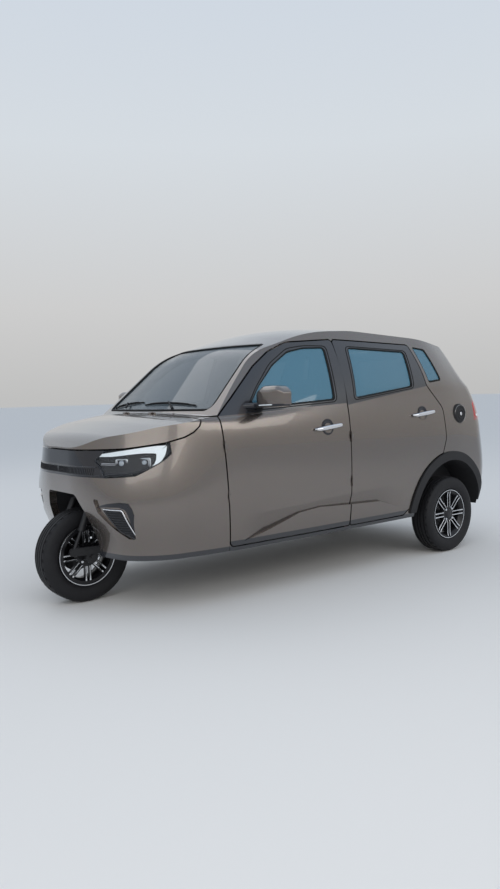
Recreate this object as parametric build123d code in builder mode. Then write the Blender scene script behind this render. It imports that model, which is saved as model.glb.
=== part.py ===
from build123d import *
import math
import os

# A small three-wheeled passenger car: one steered wheel in front, two driven wheels behind.
# Millimetres. +X forward, +Y to the car's left, +Z up, the floor under the wheels at z = 0.

# Wheels and their places
tyre_radius = 261
tyre_width = 155
rim_flange_radius = 170
rim_seat_radius = 152
rim_width = 128
rim_flange = 8
rim_wall = 8
spoke_pairs = 8
spoke_width = 12
spoke_gap = 16
spoke_depth = 12
hub_radius = 62
hub_depth = 16
hub_core_radius = 34
lug_hole_radius = 7
lug_circle = 50
front_axle_x = 1379
rear_axle_x = -1058
rear_wheel_y = 632

# Steering and front fork
rake = 15
steer_foot_x = 1409
stem_radius = 17
head_bore_gap = 0.5
head_tube_radius = 34
head_tube_low = 600
head_tube_high = 780
crown_low = 560
crown_high = 586
crown_rear = -95
crown_front = 118
leg_y = 108
leg_radius = 17
link_pivot = (1256, 292)
link_front = (1486, 300)
link_width = 22
link_height = 44
axle_pin_radius = 12
pin_gap = 0.4
shock_radius = 20
shock_rod_radius = 9
shock_top = (1350, 600)
shock_rod_end = (1436, 410)
disc_radius = 105
disc_thickness = 5
disc_y = -72

# Body walls and gaps
door_thickness = 45
door_gap = 8
jamb_clearance = 6
jamb_width = 42
side_wall = 85
roof_wall = 45
glass_inset = 8
glass_thickness = 5
roof_axis_z = -1500
hood_axis_z = -6000
sill_height = 318
cut_width = 900
door_core_y = 486
wall_core_y = 300
window_corner = 25

# Hinges. Pins stand just outside the panels, in the gaps.
hinge_pin_radius = 2.4
hinge_pin_length = 64
hinge_knuckle = 26
hinge_knuckle_radius = 4.6
hinge_bore_gap = 0.2
hinge_lug = 3
hinge_reach = 62
front_hinge_y = 701
rear_hinge_y = 723
hinge_heights = (590, 860)
hood_hinge_z = 1041
hood_hinge_y = 150
tail_hinge_x = -1296
tail_hinge_y = 170

# Handles and mirrors
handle_skin_y = 707
handle_reach = 32
handle_bar = 12
handle_height = 26
mirror_inner_y = 676
mirror_outer_y = 892
mirror_arm_radius = 17
mirror_foot = (704, 610, 1062)
mirror_neck = (615, 735, 1090)
MIRROR_BACK = [(560, 1058), (652, 1064), (642, 1158), (580, 1166)]
MIRROR_TIP = [(560, 1074), (604, 1078), (602, 1148), (566, 1158)]

# Frame, floor and seats
rail_width = 60
rail_height = 60
rail_y = 250
rail_bottom = 236
kick_bottom = 380
kick_front_x = -600
kick_rear_x = -740
rail_rear_x = -1480
floor_thickness = 10
firewall_x = 905
firewall_thickness = 20
riser_front_x = 430
riser_rear_x = -160
riser_top = 470
engine_size = (380, 300, 204)
engine_x = 140
seat_y = 300
seat_width = 440
bench_half_width = 470
wheel_ring_radius = 180
wheel_grip_radius = 14
steering_wheel_x = 500
steering_wheel_z = 900
column_tilt = 25

# Rear axle, springs and exhaust
axle_tube_radius = 38
differential_radius = 105
stub_radius = 20
drum_radius = 100
drum_depth = 56
leaf_width = 50
leaf_thickness = 24
shaft_radius = 21
pipe_radius = 19
silencer_radius = 55

# Rear arches
arch_radius = 380
flare_width = 60
flare_proud = 12
liner_thickness = 8
liner_inner_y = 480
body_bottom = 296

# Half plan outlines of the lower body, floor edge to belt, nose to tail.
# Columns: height at x = 0, rise to the rear per mm, then x, y of the nose, the front corner,
# the cheek, the door's front edge, the middle, the hip, the rear corner and the rear end.
BELT = (1062, 0.06, 1480, 240, 1320, 480, 1120, 622, 856, 662, -150, 694, -1083, 680, -1410, 628, -1520, 465)
LOWER_OUTLINES = [
    (290, 0, 1405, 250, 1360, 480, 1200, 610, 856, 668, -150, 690, -1083, 690, -1470, 655, -1552, 500),
    (450, 0, 1440, 250, 1395, 510, 1210, 640, 856, 690, -150, 712, -1083, 712, -1500, 680, -1610, 520),
    (620, 0, 1490, 240, 1425, 510, 1210, 655, 856, 700, -150, 720, -1083, 720, -1500, 685, -1630, 540),
    (760, 0, 1500, 240, 1390, 500, 1190, 640, 856, 703, -150, 720, -1083, 720, -1490, 680, -1640, 520),
    (900, 0, 1495, 240, 1350, 490, 1150, 625, 856, 698, -150, 714, -1083, 712, -1480, 668, -1620, 510),
    BELT,
]

# Half plan outlines of the glasshouse, belt to roof, with the same columns.
CABIN_OUTLINES = [
    BELT,
    (1260, 0.05, 900, 220, 850, 430, 740, 530, 600, 590, -150, 640, -1041, 625, -1290, 560, -1380, 420),
    (1440, 0.02, 650, 200, 600, 380, 500, 470, 350, 520, -150, 560, -1000, 545, -1220, 490, -1300, 380),
    (1600, 0, 450, 180, 400, 330, 300, 400, 150, 440, -150, 470, -900, 460, -1100, 420, -1180, 330),
]

# Side profiles on the centre line, of windshield, roof and tail, and of the hood, which crowns less.
# Columns: x, z, corner radius.
ROOF_PROFILE = [
    (1130, 100, 1), (1130, 893, 1), (520, 1420, 500), (100, 1545, 1500), (-265, 1562, 1500),
    (-940, 1528, 1500), (-1275, 1465, 30), (-1500, 1130, 200), (-1590, 1060, 60), (-1650, 960, 100),
    (-1650, 100, 1),
]
HOOD_PROFILE = [
    (1560, 100, 1), (1560, 845, 5), (1500, 870, 60), (1430, 935, 200), (1200, 1000, 600), (960, 1040, 600),
    (700, 1083, 1), (700, 100, 1),
]

# The hollow along the lower doors, from a crease down to a raised lower edge.
# Columns of the hollow: x, crease z, crease y, y at the hollow's foot. Columns of the edge: x, z.
HOLLOW = [
    (842, 469, 691.5, 689), (600, 483, 698.5, 642), (300, 497, 706.5, 644), (0, 510, 711.5, 646),
    (-300, 522, 715.6, 654), (-600, 530, 716, 713),
]
hollow_foot_z = 290
LOWER_EDGE = [
    (830, 270), (800, 323), (586, 375), (362, 444), (203, 459), (-51, 446), (-324, 435), (-500, 380),
    (-610, 330), (-610, 270),
]

# Door outlines on the skin. Columns: x, z, the skin's y there, how far the edge leans
# forward per mm inward, corner radius.
door_front_low = (837, sill_height)
door_front_high = (881, 1016)
split_x = -60
split_top_x = -75
FRONT_DOOR = [
    (*door_front_low, 668, 0, 25), (*door_front_high, 690, 0, 6), (762, 1112, 640, 0, 120),
    (560, 1285, 590, 0, 120), (430, 1372, 570, 0, 150), (289, 1428, 560, 0, 150),
    (split_top_x + door_gap / 2, 1452, 552, 0.25, 20),
    (split_x + door_gap / 2, 1056, 705, 0.08, 200), (split_x + door_gap / 2, sill_height, 715, 0.08, 12),
]
REAR_DOOR = [
    (split_x - door_gap / 2, sill_height, 692, 0, 12), (split_x - door_gap / 2, 1056, 695, 0, 200),
    (split_top_x - door_gap / 2, 1452, 552, 0, 20), (-780, 1432, 552, 0.35, 20),
    (-836, 1158, 680, 0.3, 60), (-985, 1000, 705, 0.14, 90), (-1000, 800, 715, 0.12, 80),
    (-900, 560, 712, 0.12, 60), (-560, sill_height, 692, 0.12, 15),
]

# Window outlines from the side. Columns: x, z.
FRONT_WINDOW = [(686, 1046), (35, 1082), (3, 1406), (170, 1402), (300, 1378), (440, 1296), (580, 1170)]
REAR_WINDOW = [(-138, 1086), (-692, 1150), (-720, 1388), (-184, 1406)]
QUARTER_WINDOW = [(-872, 1176), (-1016, 1191), (-949, 1410), (-822, 1424)]

# Windshield, tailgate and tail lamps from the front. Columns: y, z.
WINDSHIELD = [(-575, 1046), (575, 1046), (470, 1425), (-470, 1425)]
tail_top = 1436
TAILGATE = [(-500, 640), (-560, 960), (-545, 1090), (-432, tail_top)]
TAIL_GLASS = [(-470, 1150), (-385, 1385)]
TAIL_LAMP = [(572, 905), (700, 905), (700, 1045), (566, 1045)]

# Front panels from the side. Columns: x, z.
hood_rear_x = 993
cowl_half_width = 540
HOOD = [
    (hood_rear_x, 1003), (1006, 975), (1040, 945), (1090, 922), (1185, 897), (1355, 873), (1560, 862),
    (1560, 1200), (hood_rear_x, 1200),
]
LAMP_BAND = [
    (1160, 838), (1197, 807), (1274, 762), (1334, 731), (1434, 722), (1560, 722), (1560, 900), (1160, 930),
]

# Grille, wheel arch and bumper vent from the front. Columns: y, z.
GRILLE = [(425, 700), (378, 762), (338, 808), (375, 848), (398, 900)]
ARCH = [(-262, 200), (-252, 430), (-226, 530), (-165, 623)]
VENT = [(330, 612), (545, 600), (560, 560), (532, 408), (505, 408), (350, 540)]
vent_recess = 14

# Wipers from above: blade's outer and inner ends, and the arm's pivot. Columns: x, y.
WIPERS = [((868, 430), (905, -60), (945, 300)), ((880, -110), (868, -500), (950, -250))]
wiper_width = 14
wiper_proud = 8


def save(piece, name):
    piece.part.label = name
    export_step(piece.part, "parts/" + name + ".step")


def mirrored(piece):
    """The same piece on the other side of the car."""
    return mirror(piece, Plane.XZ, mode=Mode.PRIVATE)


def both_sides(half):
    """A closed outline from its left half, given from the bottom up."""
    return half + [(-y, z) for y, z in reversed(half)]


def corner_radii(points, share=0.92):
    """The radius at each corner of a closed outline, as large as its shorter side allows."""
    radii = []
    for i, point in enumerate(points):
        here = Vector(*point)
        back = Vector(*points[i - 1]) - here
        ahead = Vector(*points[(i + 1) % len(points)]) - here
        turn = 180 - back.get_angle(ahead)
        radii.append(share * min(back.length, ahead.length) / 2 / math.tan(math.radians(turn / 2)))
    return radii


def crowned(profile, axis_z, inset):
    """A side profile turned about a long axis far below the floor, so that its top is crowned."""
    with BuildPart() as turned:
        with BuildSketch(Plane.XZ):
            with BuildLine():
                FilletPolyline(
                    *[(x, z) for x, z, radius in profile],
                    radius=[radius for x, z, radius in profile],
                    close=True,
                )
            make_face()
            if inset:
                offset(amount=-inset)
        revolve(axis=Axis((0, 0, axis_z), (1, 0, 0)))
    return turned.part


def crowned_top(roof, hood):
    """The roof's and the hood's crowned solids as one."""
    with BuildPart() as top:
        add(roof)
        add(hood)
    return top.part


def side_form(inset):
    """The body's sides as a solid that ends above the roof, moved in by an inset."""
    with BuildPart() as form:
        for table in (LOWER_OUTLINES, CABIN_OUTLINES):
            for height, rise, *columns in table:
                half = list(zip(columns[0::2], columns[1::2]))
                points = half + [(x, -y) for x, y in reversed(half)]
                tilt = Plane((0, 0, height), x_dir=(1, 0, -rise), z_dir=(rise, 0, 1))
                with BuildSketch(tilt):
                    with BuildLine():
                        FilletPolyline(*points, radius=corner_radii(points), close=True)
                    make_face()
                    if inset:
                        offset(amount=-inset)
            loft()
    return form.part


def body_form(inset, top_inset):
    """The whole body as a solid, its sides and its top moved in by the two insets."""
    with BuildPart() as form:
        add(side_form(inset))
        roof = crowned(ROOF_PROFILE, roof_axis_z, top_inset)
        add(crowned_top(roof, crowned(HOOD_PROFILE, hood_axis_z, top_inset)), mode=Mode.INTERSECT)
    return form.part


def slab(plane, points, corner, thickness, grow=0):
    """A slab of one thickness on a plane, with rounded corners, moved out all round by grow."""
    with BuildPart() as block:
        with BuildSketch(plane):
            with BuildLine():
                if corner:
                    FilletPolyline(*points, radius=corner, close=True)
                else:
                    Polyline(*points, close=True)
            make_face()
            if grow:
                offset(amount=grow)
        extrude(amount=thickness)
    return block.part


def side_slab(points, corner, low_y, high_y, grow=0):
    """A slab with the outline of points (x, z), from low_y to high_y."""
    return slab(Plane.XZ.offset(-high_y), points, corner, high_y - low_y, grow)


def front_slab(points, corner, low_x, high_x, grow=0):
    """A slab with the outline of points (y, z), from low_x to high_x."""
    return slab(Plane.YZ.offset(low_x), points, corner, high_x - low_x, grow)


def door_block(outline, grow, inner_y):
    """The block that cuts a left door out of the body, its edges leaning as the table says."""
    with BuildPart() as block:
        for plane_y in (cut_width, inner_y):
            points = [(x + lean * (skin_y - plane_y), z) for x, z, skin_y, lean, corner in outline]
            with BuildSketch(Plane.XZ.offset(-plane_y)):
                with BuildLine():
                    FilletPolyline(*points, radius=[row[4] for row in outline], close=True)
                make_face()
                if grow:
                    offset(amount=grow)
        loft(ruled=True)
    return block.part


def box_between(low, high):
    """A box from its lowest corner to its highest."""
    size = [b - a for a, b in zip(low, high)]
    middle = tuple((a + b) / 2 for a, b in zip(low, high))
    with BuildPart() as block:
        with Locations(middle):
            Box(*size)
    return block.part


def rod(start, end, radius):
    """A round bar from start to end."""
    path = Vector(*end) - Vector(*start)
    with BuildPart() as bar:
        with BuildSketch(Plane(start, z_dir=path)):
            Circle(radius)
        extrude(amount=path.length)
    return bar.part


def axle_ring(centre, y_low, y_high, outer, inner=0):
    """A ring or disc about an axle at centre (x, z), from y_low to y_high."""
    x, z = centre
    with BuildPart() as ring:
        with BuildSketch(Plane((x, y_high, z), x_dir=(1, 0, 0), z_dir=(0, -1, 0))):
            Circle(outer)
            if inner:
                Circle(inner, mode=Mode.SUBTRACT)
        extrude(amount=y_high - y_low)
    return ring.part


def hinge_fixed(plane, lug=hinge_lug):
    """Two lugs and a pin. The plane's x points to the fixed panel, its y out of the body."""
    lug_height = (hinge_pin_length - hinge_knuckle) / 2 - hinge_bore_gap
    with BuildPart() as fixed:
        with BuildSketch(plane.offset(-hinge_pin_length / 2)):
            Circle(hinge_pin_radius)
        extrude(amount=hinge_pin_length)
        for low in (-hinge_pin_length / 2, hinge_pin_length / 2 - lug_height):
            with BuildSketch(plane.offset(low)):
                with Locations((lug / 2, -hinge_reach / 2)):
                    Rectangle(lug, hinge_reach)
            extrude(amount=lug_height)
    return fixed.part


def hinge_moving(plane):
    """The knuckle round the pin, with its bore, reaching into the moving panel."""
    with BuildPart() as moving:
        with BuildSketch(plane.offset(-hinge_knuckle / 2)):
            Circle(hinge_knuckle_radius)
            with Locations((-hinge_knuckle_radius * 1.5, -hinge_knuckle_radius * 1.5)):
                Rectangle(hinge_knuckle_radius * 3, hinge_knuckle_radius * 3)
            Circle(hinge_pin_radius + hinge_bore_gap, mode=Mode.SUBTRACT)
        extrude(amount=hinge_knuckle)
    return moving.part


os.makedirs("parts", exist_ok=True)

with BuildPart() as door_hollow:
    for x, crease_z, crease_y, foot_y in HOLLOW:
        with BuildSketch(Plane.YZ.offset(x)):
            with BuildLine():
                Polyline(
                    (crease_y, crease_z), (foot_y, hollow_foot_z), (cut_width, hollow_foot_z),
                    (cut_width, crease_z), close=True,
                )
            make_face()
    loft(ruled=True)
    add(side_slab(LOWER_EDGE, 0, wall_core_y, cut_width + 10), mode=Mode.SUBTRACT)
with BuildPart() as outer_skin:
    add(body_form(0, 0))
    add([door_hollow.part, mirrored(door_hollow.part)], mode=Mode.SUBTRACT)
skin = outer_skin.part
glass_face = body_form(glass_inset, glass_inset)
panel_inner = body_form(door_thickness, door_thickness)
door_side = side_form(door_thickness)
cabin_inner = body_form(side_wall, roof_wall)
print("body volume", round(skin.volume / 1e6), "cabin", round(cabin_inner.volume / 1e6))

with BuildPart() as panel_layer:
    add(skin)
    add(panel_inner, mode=Mode.SUBTRACT)
with BuildPart() as door_layer:
    add(skin)
    add(door_side, mode=Mode.SUBTRACT)

steer_tilt = math.radians(rake)
steer_axis = Vector(-math.sin(steer_tilt), 0, math.cos(steer_tilt))
steer_foot = Vector(steer_foot_x, 0, 0)
steer_plane = Plane(steer_foot, x_dir=(math.cos(steer_tilt), 0, math.sin(steer_tilt)), z_dir=steer_axis)
rear_axle = (rear_axle_x, tyre_radius)
front_axle = (front_axle_x, tyre_radius)

wheel_arch = axle_ring(rear_axle, wall_core_y, cut_width, arch_radius + liner_thickness)
flare_disc = axle_ring(rear_axle, wall_core_y, cut_width, arch_radius + flare_width)
flare_edge = axle_ring(rear_axle, wall_core_y, cut_width, arch_radius + flare_width + door_gap)
jamb_edge = axle_ring(rear_axle, wall_core_y, cut_width, arch_radius + flare_width + jamb_width)

# Hinge planes, one at each height of each left door
edge_run = Vector(door_front_high[0] - door_front_low[0], 0, door_front_high[1] - door_front_low[1])
front_axis = edge_run.normalized()
front_hinges = []
rear_hinges = []
for height in hinge_heights:
    edge_x = door_front_low[0] + edge_run.X * (height - door_front_low[1]) / edge_run.Z
    place = (edge_x + door_gap / 2, front_hinge_y, height)
    front_hinges.append(Plane(place, x_dir=(front_axis.Z, 0, -front_axis.X), z_dir=front_axis))
    place = (split_x - hinge_lug / 2, rear_hinge_y, height)
    rear_hinges.append(Plane(place, x_dir=(1, 0, 0), z_dir=(0, 0, 1)))
print("front door axis", front_hinges[0].origin, front_axis)
print("rear door axis", rear_hinges[0].origin)

# Doors, their glass and handles, made on the left and mirrored to the right
DOORS = [
    # name, outline, window, hinges, handle's rear end x, z and front end x, z
    ("front", FRONT_DOOR, FRONT_WINDOW, front_hinges, (14, 936), (240, 916)),
    ("rear", REAR_DOOR, REAR_WINDOW, rear_hinges, (-872, 984), (-646, 964)),
]
door_holes = []
for end, outline, window, hinges, handle_rear, handle_front in DOORS:
    pane_hole = side_slab(window, window_corner, door_core_y, cut_width)
    with BuildPart() as door:
        add(door_layer.part)
        add(door_block(outline, 0, door_core_y), mode=Mode.INTERSECT)
        add(pane_hole, mode=Mode.SUBTRACT)
        if end == "rear":
            add(flare_edge, mode=Mode.SUBTRACT)
        for plane in hinges:
            add(hinge_moving(plane))
    with BuildPart() as pane:
        add(glass_face)
        add(pane_hole, mode=Mode.INTERSECT)
        add(glass_face.moved(Location((0, -glass_thickness, 0))), mode=Mode.SUBTRACT)
    handle_run = Vector(*handle_front) - Vector(*handle_rear)
    handle_middle = (Vector(*handle_front) + Vector(*handle_rear)) / 2
    handle_face = handle_skin_y + handle_reach - handle_bar
    with BuildPart() as handle:
        with BuildSketch(Plane.XZ.offset(-handle_face - handle_bar)):
            with Locations((handle_middle.X, handle_middle.Y)):
                slope = math.degrees(math.atan2(handle_run.Y, handle_run.X))
                SlotOverall(handle_run.length, handle_height, rotation=slope)
        extrude(amount=handle_bar)
        for share in (0.12, 0.88):
            foot = Vector(*handle_rear) + handle_run * share
            add(axle_ring((foot.X, foot.Y), handle_face - handle_reach * 2, handle_face, handle_height / 3))
        add(skin, mode=Mode.SUBTRACT)
    for piece, name in ((door, "door_"), (pane, "glass_"), (handle, "handle_")):
        save(piece, name + end + "_left")
        with BuildPart() as right_side:
            add(mirrored(piece.part))
        save(right_side, name + end + "_right")
        print(name + end, round(piece.part.volume / 1e6, 2), len(piece.part.solids()))
    with BuildPart() as hole:
        add(door_block(outline, door_gap, door_core_y - jamb_clearance))
        add(door_side.moved(Location((0, -jamb_clearance, 0))), mode=Mode.SUBTRACT)
    with BuildPart() as opening:
        add(door_block(outline, -jamb_width, wall_core_y))
        if end == "rear":
            add(flare_disc, mode=Mode.SUBTRACT)
            add(jamb_edge, mode=Mode.SUBTRACT)
    with BuildPart() as door_hole:
        add(hole.part)
        if end == "rear":
            add(flare_disc, mode=Mode.SUBTRACT)
        add(opening.part)
    door_holes.append(door_hole.part)

with BuildPart() as mirror_left:
    with BuildSketch(Plane.XZ.offset(-mirror_inner_y)):
        with BuildLine():
            FilletPolyline(*MIRROR_BACK, radius=18, close=True)
        make_face()
    with BuildSketch(Plane.XZ.offset(-mirror_outer_y)):
        with BuildLine():
            FilletPolyline(*MIRROR_TIP, radius=14, close=True)
        make_face()
    loft(ruled=True)
    add(rod(mirror_foot, mirror_neck, mirror_arm_radius))
    add(skin, mode=Mode.SUBTRACT)
with BuildPart() as mirror_right:
    add(mirrored(mirror_left.part))
save(mirror_left, "mirror_left")
save(mirror_right, "mirror_right")

# Cabin: roof, pillars, sills and rear quarters in one welded shell, with the firewall
tail_x_low = -1750
tail_x_high = -1100
cowl_x = hood_rear_x - door_gap
quarter_holes = side_slab(QUARTER_WINDOW, 18, -cut_width, cut_width)
windshield_hole = front_slab(WINDSHIELD, 40, 250, 1000)
tail_outline = both_sides(TAILGATE)
lamp_left = front_slab(TAIL_LAMP, 12, tail_x_low, -1380)
with BuildPart() as lamp_pocket:
    add(lamp_left)
    add(mirrored(lamp_left))
    add(panel_inner, mode=Mode.SUBTRACT)
fender_line = [
    (door_front_low[0] - 10, 0), (door_front_high[0], door_front_high[1] + door_gap),
    (hood_rear_x, door_front_high[1]), (hood_rear_x, 0),
]
with BuildPart() as fender_zone:
    for side in (-1, 1):
        middle = side * (cut_width + cowl_half_width) / 2
        half = (cut_width - cowl_half_width) / 2
        add(side_slab(fender_line, 0, middle - half, middle + half))
    add(panel_inner, mode=Mode.SUBTRACT)
with BuildPart() as rear_low:
    add(box_between((-1750, -cut_width, 0), (rear_axle_x, cut_width, 632)))
with BuildPart() as cabin_wall:
    add(skin)
    add(cabin_inner, mode=Mode.SUBTRACT)
    add(box_between((cowl_x, -cut_width, 0), (2000, cut_width, 2000)), mode=Mode.SUBTRACT)
    for side in (-1, 1):
        middle = side * (cut_width + cowl_half_width) / 2
        half = (cut_width - cowl_half_width) / 2
        low = (firewall_x + firewall_thickness, middle - half, 0)
        add(box_between(low, (cowl_x, middle + half, door_front_high[1])), mode=Mode.SUBTRACT)
    add(fender_zone.part, mode=Mode.SUBTRACT)
    for hole in door_holes + [wheel_arch]:
        add([hole, mirrored(hole)], mode=Mode.SUBTRACT)
    add(front_slab(tail_outline, 60, tail_x_low, tail_x_high, grow=door_gap), mode=Mode.SUBTRACT)
    add(quarter_holes, mode=Mode.SUBTRACT)
    add(windshield_hole, mode=Mode.SUBTRACT)
    add(lamp_pocket.part, mode=Mode.SUBTRACT)
with BuildPart() as firewall:
    add(cabin_inner)
    low = (firewall_x, -cut_width, body_bottom)
    add(box_between(low, (firewall_x + firewall_thickness, cut_width, 1200)), mode=Mode.INTERSECT)

hood_hinges = []
tail_hinges = []
for side in (-1, 1):
    place = (cowl_x + door_gap / 2, side * hood_hinge_y, hood_hinge_z)
    hood_hinges.append(Plane(place, x_dir=(-1, 0, 0), z_dir=(0, 1, 0)))
    place = (tail_hinge_x, side * tail_hinge_y, tail_top + door_gap / 2)
    tail_hinges.append(Plane(place, x_dir=(0, 0, 1), z_dir=(0, -1, 0)))

with BuildPart() as cabin_shell:
    add(cabin_wall.part)
    add(rear_low.part, mode=Mode.SUBTRACT)
    add(firewall.part)
    for plane in front_hinges + rear_hinges:
        lugs = hinge_fixed(plane)
        add(lugs)
        add(mirrored(lugs))
    for plane in hood_hinges + tail_hinges:
        add(hinge_fixed(plane, door_gap))
save(cabin_shell, "cabin_shell")

with BuildPart() as rear_bumper:
    add(cabin_wall.part)
    add(rear_low.part, mode=Mode.INTERSECT)
save(rear_bumper, "rear_bumper")

with BuildPart() as windshield:
    add(glass_face)
    add(windshield_hole, mode=Mode.INTERSECT)
    add(glass_face.moved(Location((-glass_thickness, 0, -glass_thickness / 2))), mode=Mode.SUBTRACT)
save(windshield, "windshield")

with BuildPart() as quarter_left:
    add(glass_face)
    add(side_slab(QUARTER_WINDOW, 18, wall_core_y, cut_width), mode=Mode.INTERSECT)
    add(glass_face.moved(Location((0, -glass_thickness, 0))), mode=Mode.SUBTRACT)
with BuildPart() as quarter_glass:
    add(quarter_left.part)
    add(mirrored(quarter_left.part))
save(quarter_glass, "quarter_glass")

with BuildPart() as tail_lamps:
    add(lamp_pocket.part)
    add(skin, mode=Mode.INTERSECT)
save(tail_lamps, "tail_lamps")

# Tailgate and its glass
tail_pane_hole = front_slab(both_sides(TAIL_GLASS), 40, tail_x_low, tail_x_high)
with BuildPart() as tailgate:
    add(panel_layer.part)
    add(front_slab(tail_outline, 60, tail_x_low, tail_x_high), mode=Mode.INTERSECT)
    add(tail_pane_hole, mode=Mode.SUBTRACT)
    for plane in tail_hinges:
        add(hinge_moving(plane))
save(tailgate, "tailgate")
with BuildPart() as tailgate_glass:
    add(glass_face)
    add(tail_pane_hole, mode=Mode.INTERSECT)
    add(glass_face.moved(Location((glass_thickness, 0, -glass_thickness / 2))), mode=Mode.SUBTRACT)
save(tailgate_glass, "tailgate_glass")

# Hood, and the front clip of bumper and fenders in one moulding
with BuildPart() as hood:
    add(panel_layer.part)
    add(side_slab(HOOD, 0, -cut_width, cut_width), mode=Mode.INTERSECT)
    for plane in hood_hinges:
        add(hinge_moving(plane))
save(hood, "hood")

clip_line = [
    (door_front_low[0] + door_gap, 0), (door_front_low[0] + door_gap, door_front_low[1]),
    (door_front_high[0] + door_gap, door_front_high[1]), (hood_rear_x, door_front_high[1]),
    (1560, 1200), (1560, 0),
]
vent_left = front_slab(VENT, 10, 1150, 1700)
with BuildPart() as nose_layer:
    add(panel_layer.part)
    add(side_slab(clip_line, 0, -cut_width, cut_width), mode=Mode.INTERSECT)
    add(side_slab(HOOD, 0, -cut_width, cut_width, grow=door_gap), mode=Mode.SUBTRACT)
    low = (door_front_high[0] - 100, -cowl_half_width, 700)
    add(box_between(low, (hood_rear_x + door_gap, cowl_half_width, 1100)), mode=Mode.SUBTRACT)
lamp_slab = side_slab(LAMP_BAND, 0, -cut_width, cut_width)
arch_outline = both_sides(ARCH)
with BuildPart() as front_clip:
    add(nose_layer.part)
    add(lamp_slab, mode=Mode.SUBTRACT)
    add(front_slab(arch_outline, 40, 1300, 1700), mode=Mode.SUBTRACT)
    add(vent_left, mode=Mode.SUBTRACT)
    add(mirrored(vent_left), mode=Mode.SUBTRACT)
save(front_clip, "front_clip")

with BuildPart() as lamp_layer:
    add(nose_layer.part)
    add(lamp_slab, mode=Mode.INTERSECT)
grille_block = front_slab(both_sides(GRILLE), 0, 1200, 1700)
with BuildPart() as grille:
    add(lamp_layer.part)
    add(grille_block, mode=Mode.INTERSECT)
save(grille, "grille")
with BuildPart() as headlamps:
    add(lamp_layer.part)
    add(grille_block, mode=Mode.SUBTRACT)
save(headlamps, "headlamps")
with BuildPart() as vent_solid:
    add(skin.moved(Location((-vent_recess, 0, 0))))
    add(vent_left, mode=Mode.INTERSECT)
    add(panel_inner, mode=Mode.SUBTRACT)
with BuildPart() as bumper_vents:
    add(vent_solid.part)
    add(mirrored(vent_solid.part))
save(bumper_vents, "bumper_vents")

# Wipers, lying on the windshield
with BuildPart() as wipers:
    for blade_start, blade_end, pivot in WIPERS:
        middle = (Vector(*blade_start) + Vector(*blade_end)) / 2
        for start, end in ((Vector(*blade_start), Vector(*blade_end)), (Vector(*pivot), middle)):
            run = end - start
            middle_point = (start + end) / 2
            with BuildSketch(Plane((middle_point.X, middle_point.Y, 900), x_dir=run)):
                Rectangle(run.length, wiper_width)
            extrude(amount=400)
    add(skin.moved(Location((0, 0, wiper_proud))), mode=Mode.INTERSECT)
    add(glass_face, mode=Mode.SUBTRACT)
    add(cabin_shell.part, mode=Mode.SUBTRACT)
save(wipers, "wipers")

# Fuel cap on the left rear quarter
fuel_cap_at = (-1181, 956)
with BuildPart() as fuel_cap:
    add(axle_ring(fuel_cap_at, 600, 760, 70))
    add(skin.moved(Location((0, flare_proud, 0))), mode=Mode.INTERSECT)
    add(skin, mode=Mode.SUBTRACT)
save(fuel_cap, "fuel_cap")

# Rear arch: liner, flare on the skin and flap behind the wheel, all one plastic moulding
arch_wall_y = liner_inner_y + liner_thickness
with BuildPart() as liner_left:
    add(axle_ring(rear_axle, liner_inner_y, cut_width, arch_radius + liner_thickness, arch_radius))
    add(axle_ring(rear_axle, liner_inner_y, arch_wall_y, arch_radius + liner_thickness))
    add(skin, mode=Mode.INTERSECT)
    add(box_between((-1058, 300, 0), (-500, 900, body_bottom)), mode=Mode.SUBTRACT)
    add(axle_ring(rear_axle, wall_core_y, arch_wall_y, axle_tube_radius + door_gap), mode=Mode.SUBTRACT)
with BuildPart() as flare_left:
    add(axle_ring(rear_axle, liner_inner_y, cut_width, arch_radius + flare_width, arch_radius))
    add(skin.moved(Location((0, flare_proud, 0))), mode=Mode.INTERSECT)
    add(skin, mode=Mode.SUBTRACT)
    add(box_between((-1800, 300, 0), (-500, 900, sill_height)), mode=Mode.SUBTRACT)
with BuildPart() as arch_left:
    add(liner_left.part)
    add(flare_left.part)
with BuildPart() as arch_liners:
    add(arch_left.part)
    add(mirrored(arch_left.part))
save(arch_liners, "arch_liners")

# Front wheel housing
housing_x = 1060
with BuildPart() as wheel_housing:
    add(front_slab(arch_outline, 40, housing_x, 1700, grow=liner_thickness))
    add(panel_inner, mode=Mode.INTERSECT)
    add(front_slab(arch_outline, 40, housing_x + liner_thickness, 1700), mode=Mode.SUBTRACT)
    add(box_between((900, -400, 0), (1700, 400, body_bottom)), mode=Mode.SUBTRACT)
    with BuildSketch(steer_plane.offset(head_tube_low - 100)):
        Circle(head_tube_radius)
    extrude(amount=head_tube_high - head_tube_low + 100, mode=Mode.SUBTRACT)
save(wheel_housing, "front_wheel_housing")

# Front frame: head tube, cross beam, top rails and the posts down to the chassis rails
beam_low = 645
beam_high = 705
post_x = firewall_x + firewall_thickness
rail_outer = rail_y + rail_width
with BuildPart() as front_frame:
    add(box_between((1180, -rail_outer, beam_low), (1290, rail_outer, beam_high)))
    for side in (-1, 1):
        low_y = min(side * rail_y, side * rail_outer)
        high_y = max(side * rail_y, side * rail_outer)
        add(box_between((post_x, low_y, beam_low), (1290, high_y, beam_high)))
        add(box_between((post_x, low_y, rail_bottom), (post_x + rail_width, high_y, beam_high)))
    with BuildSketch(steer_plane.offset(head_tube_low)):
        Circle(head_tube_radius)
    extrude(amount=head_tube_high - head_tube_low)
    with BuildSketch(steer_plane.offset(head_tube_low)):
        Circle(stem_radius + head_bore_gap)
    extrude(amount=head_tube_high - head_tube_low, mode=Mode.SUBTRACT)
save(front_frame, "front_frame")

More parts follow.
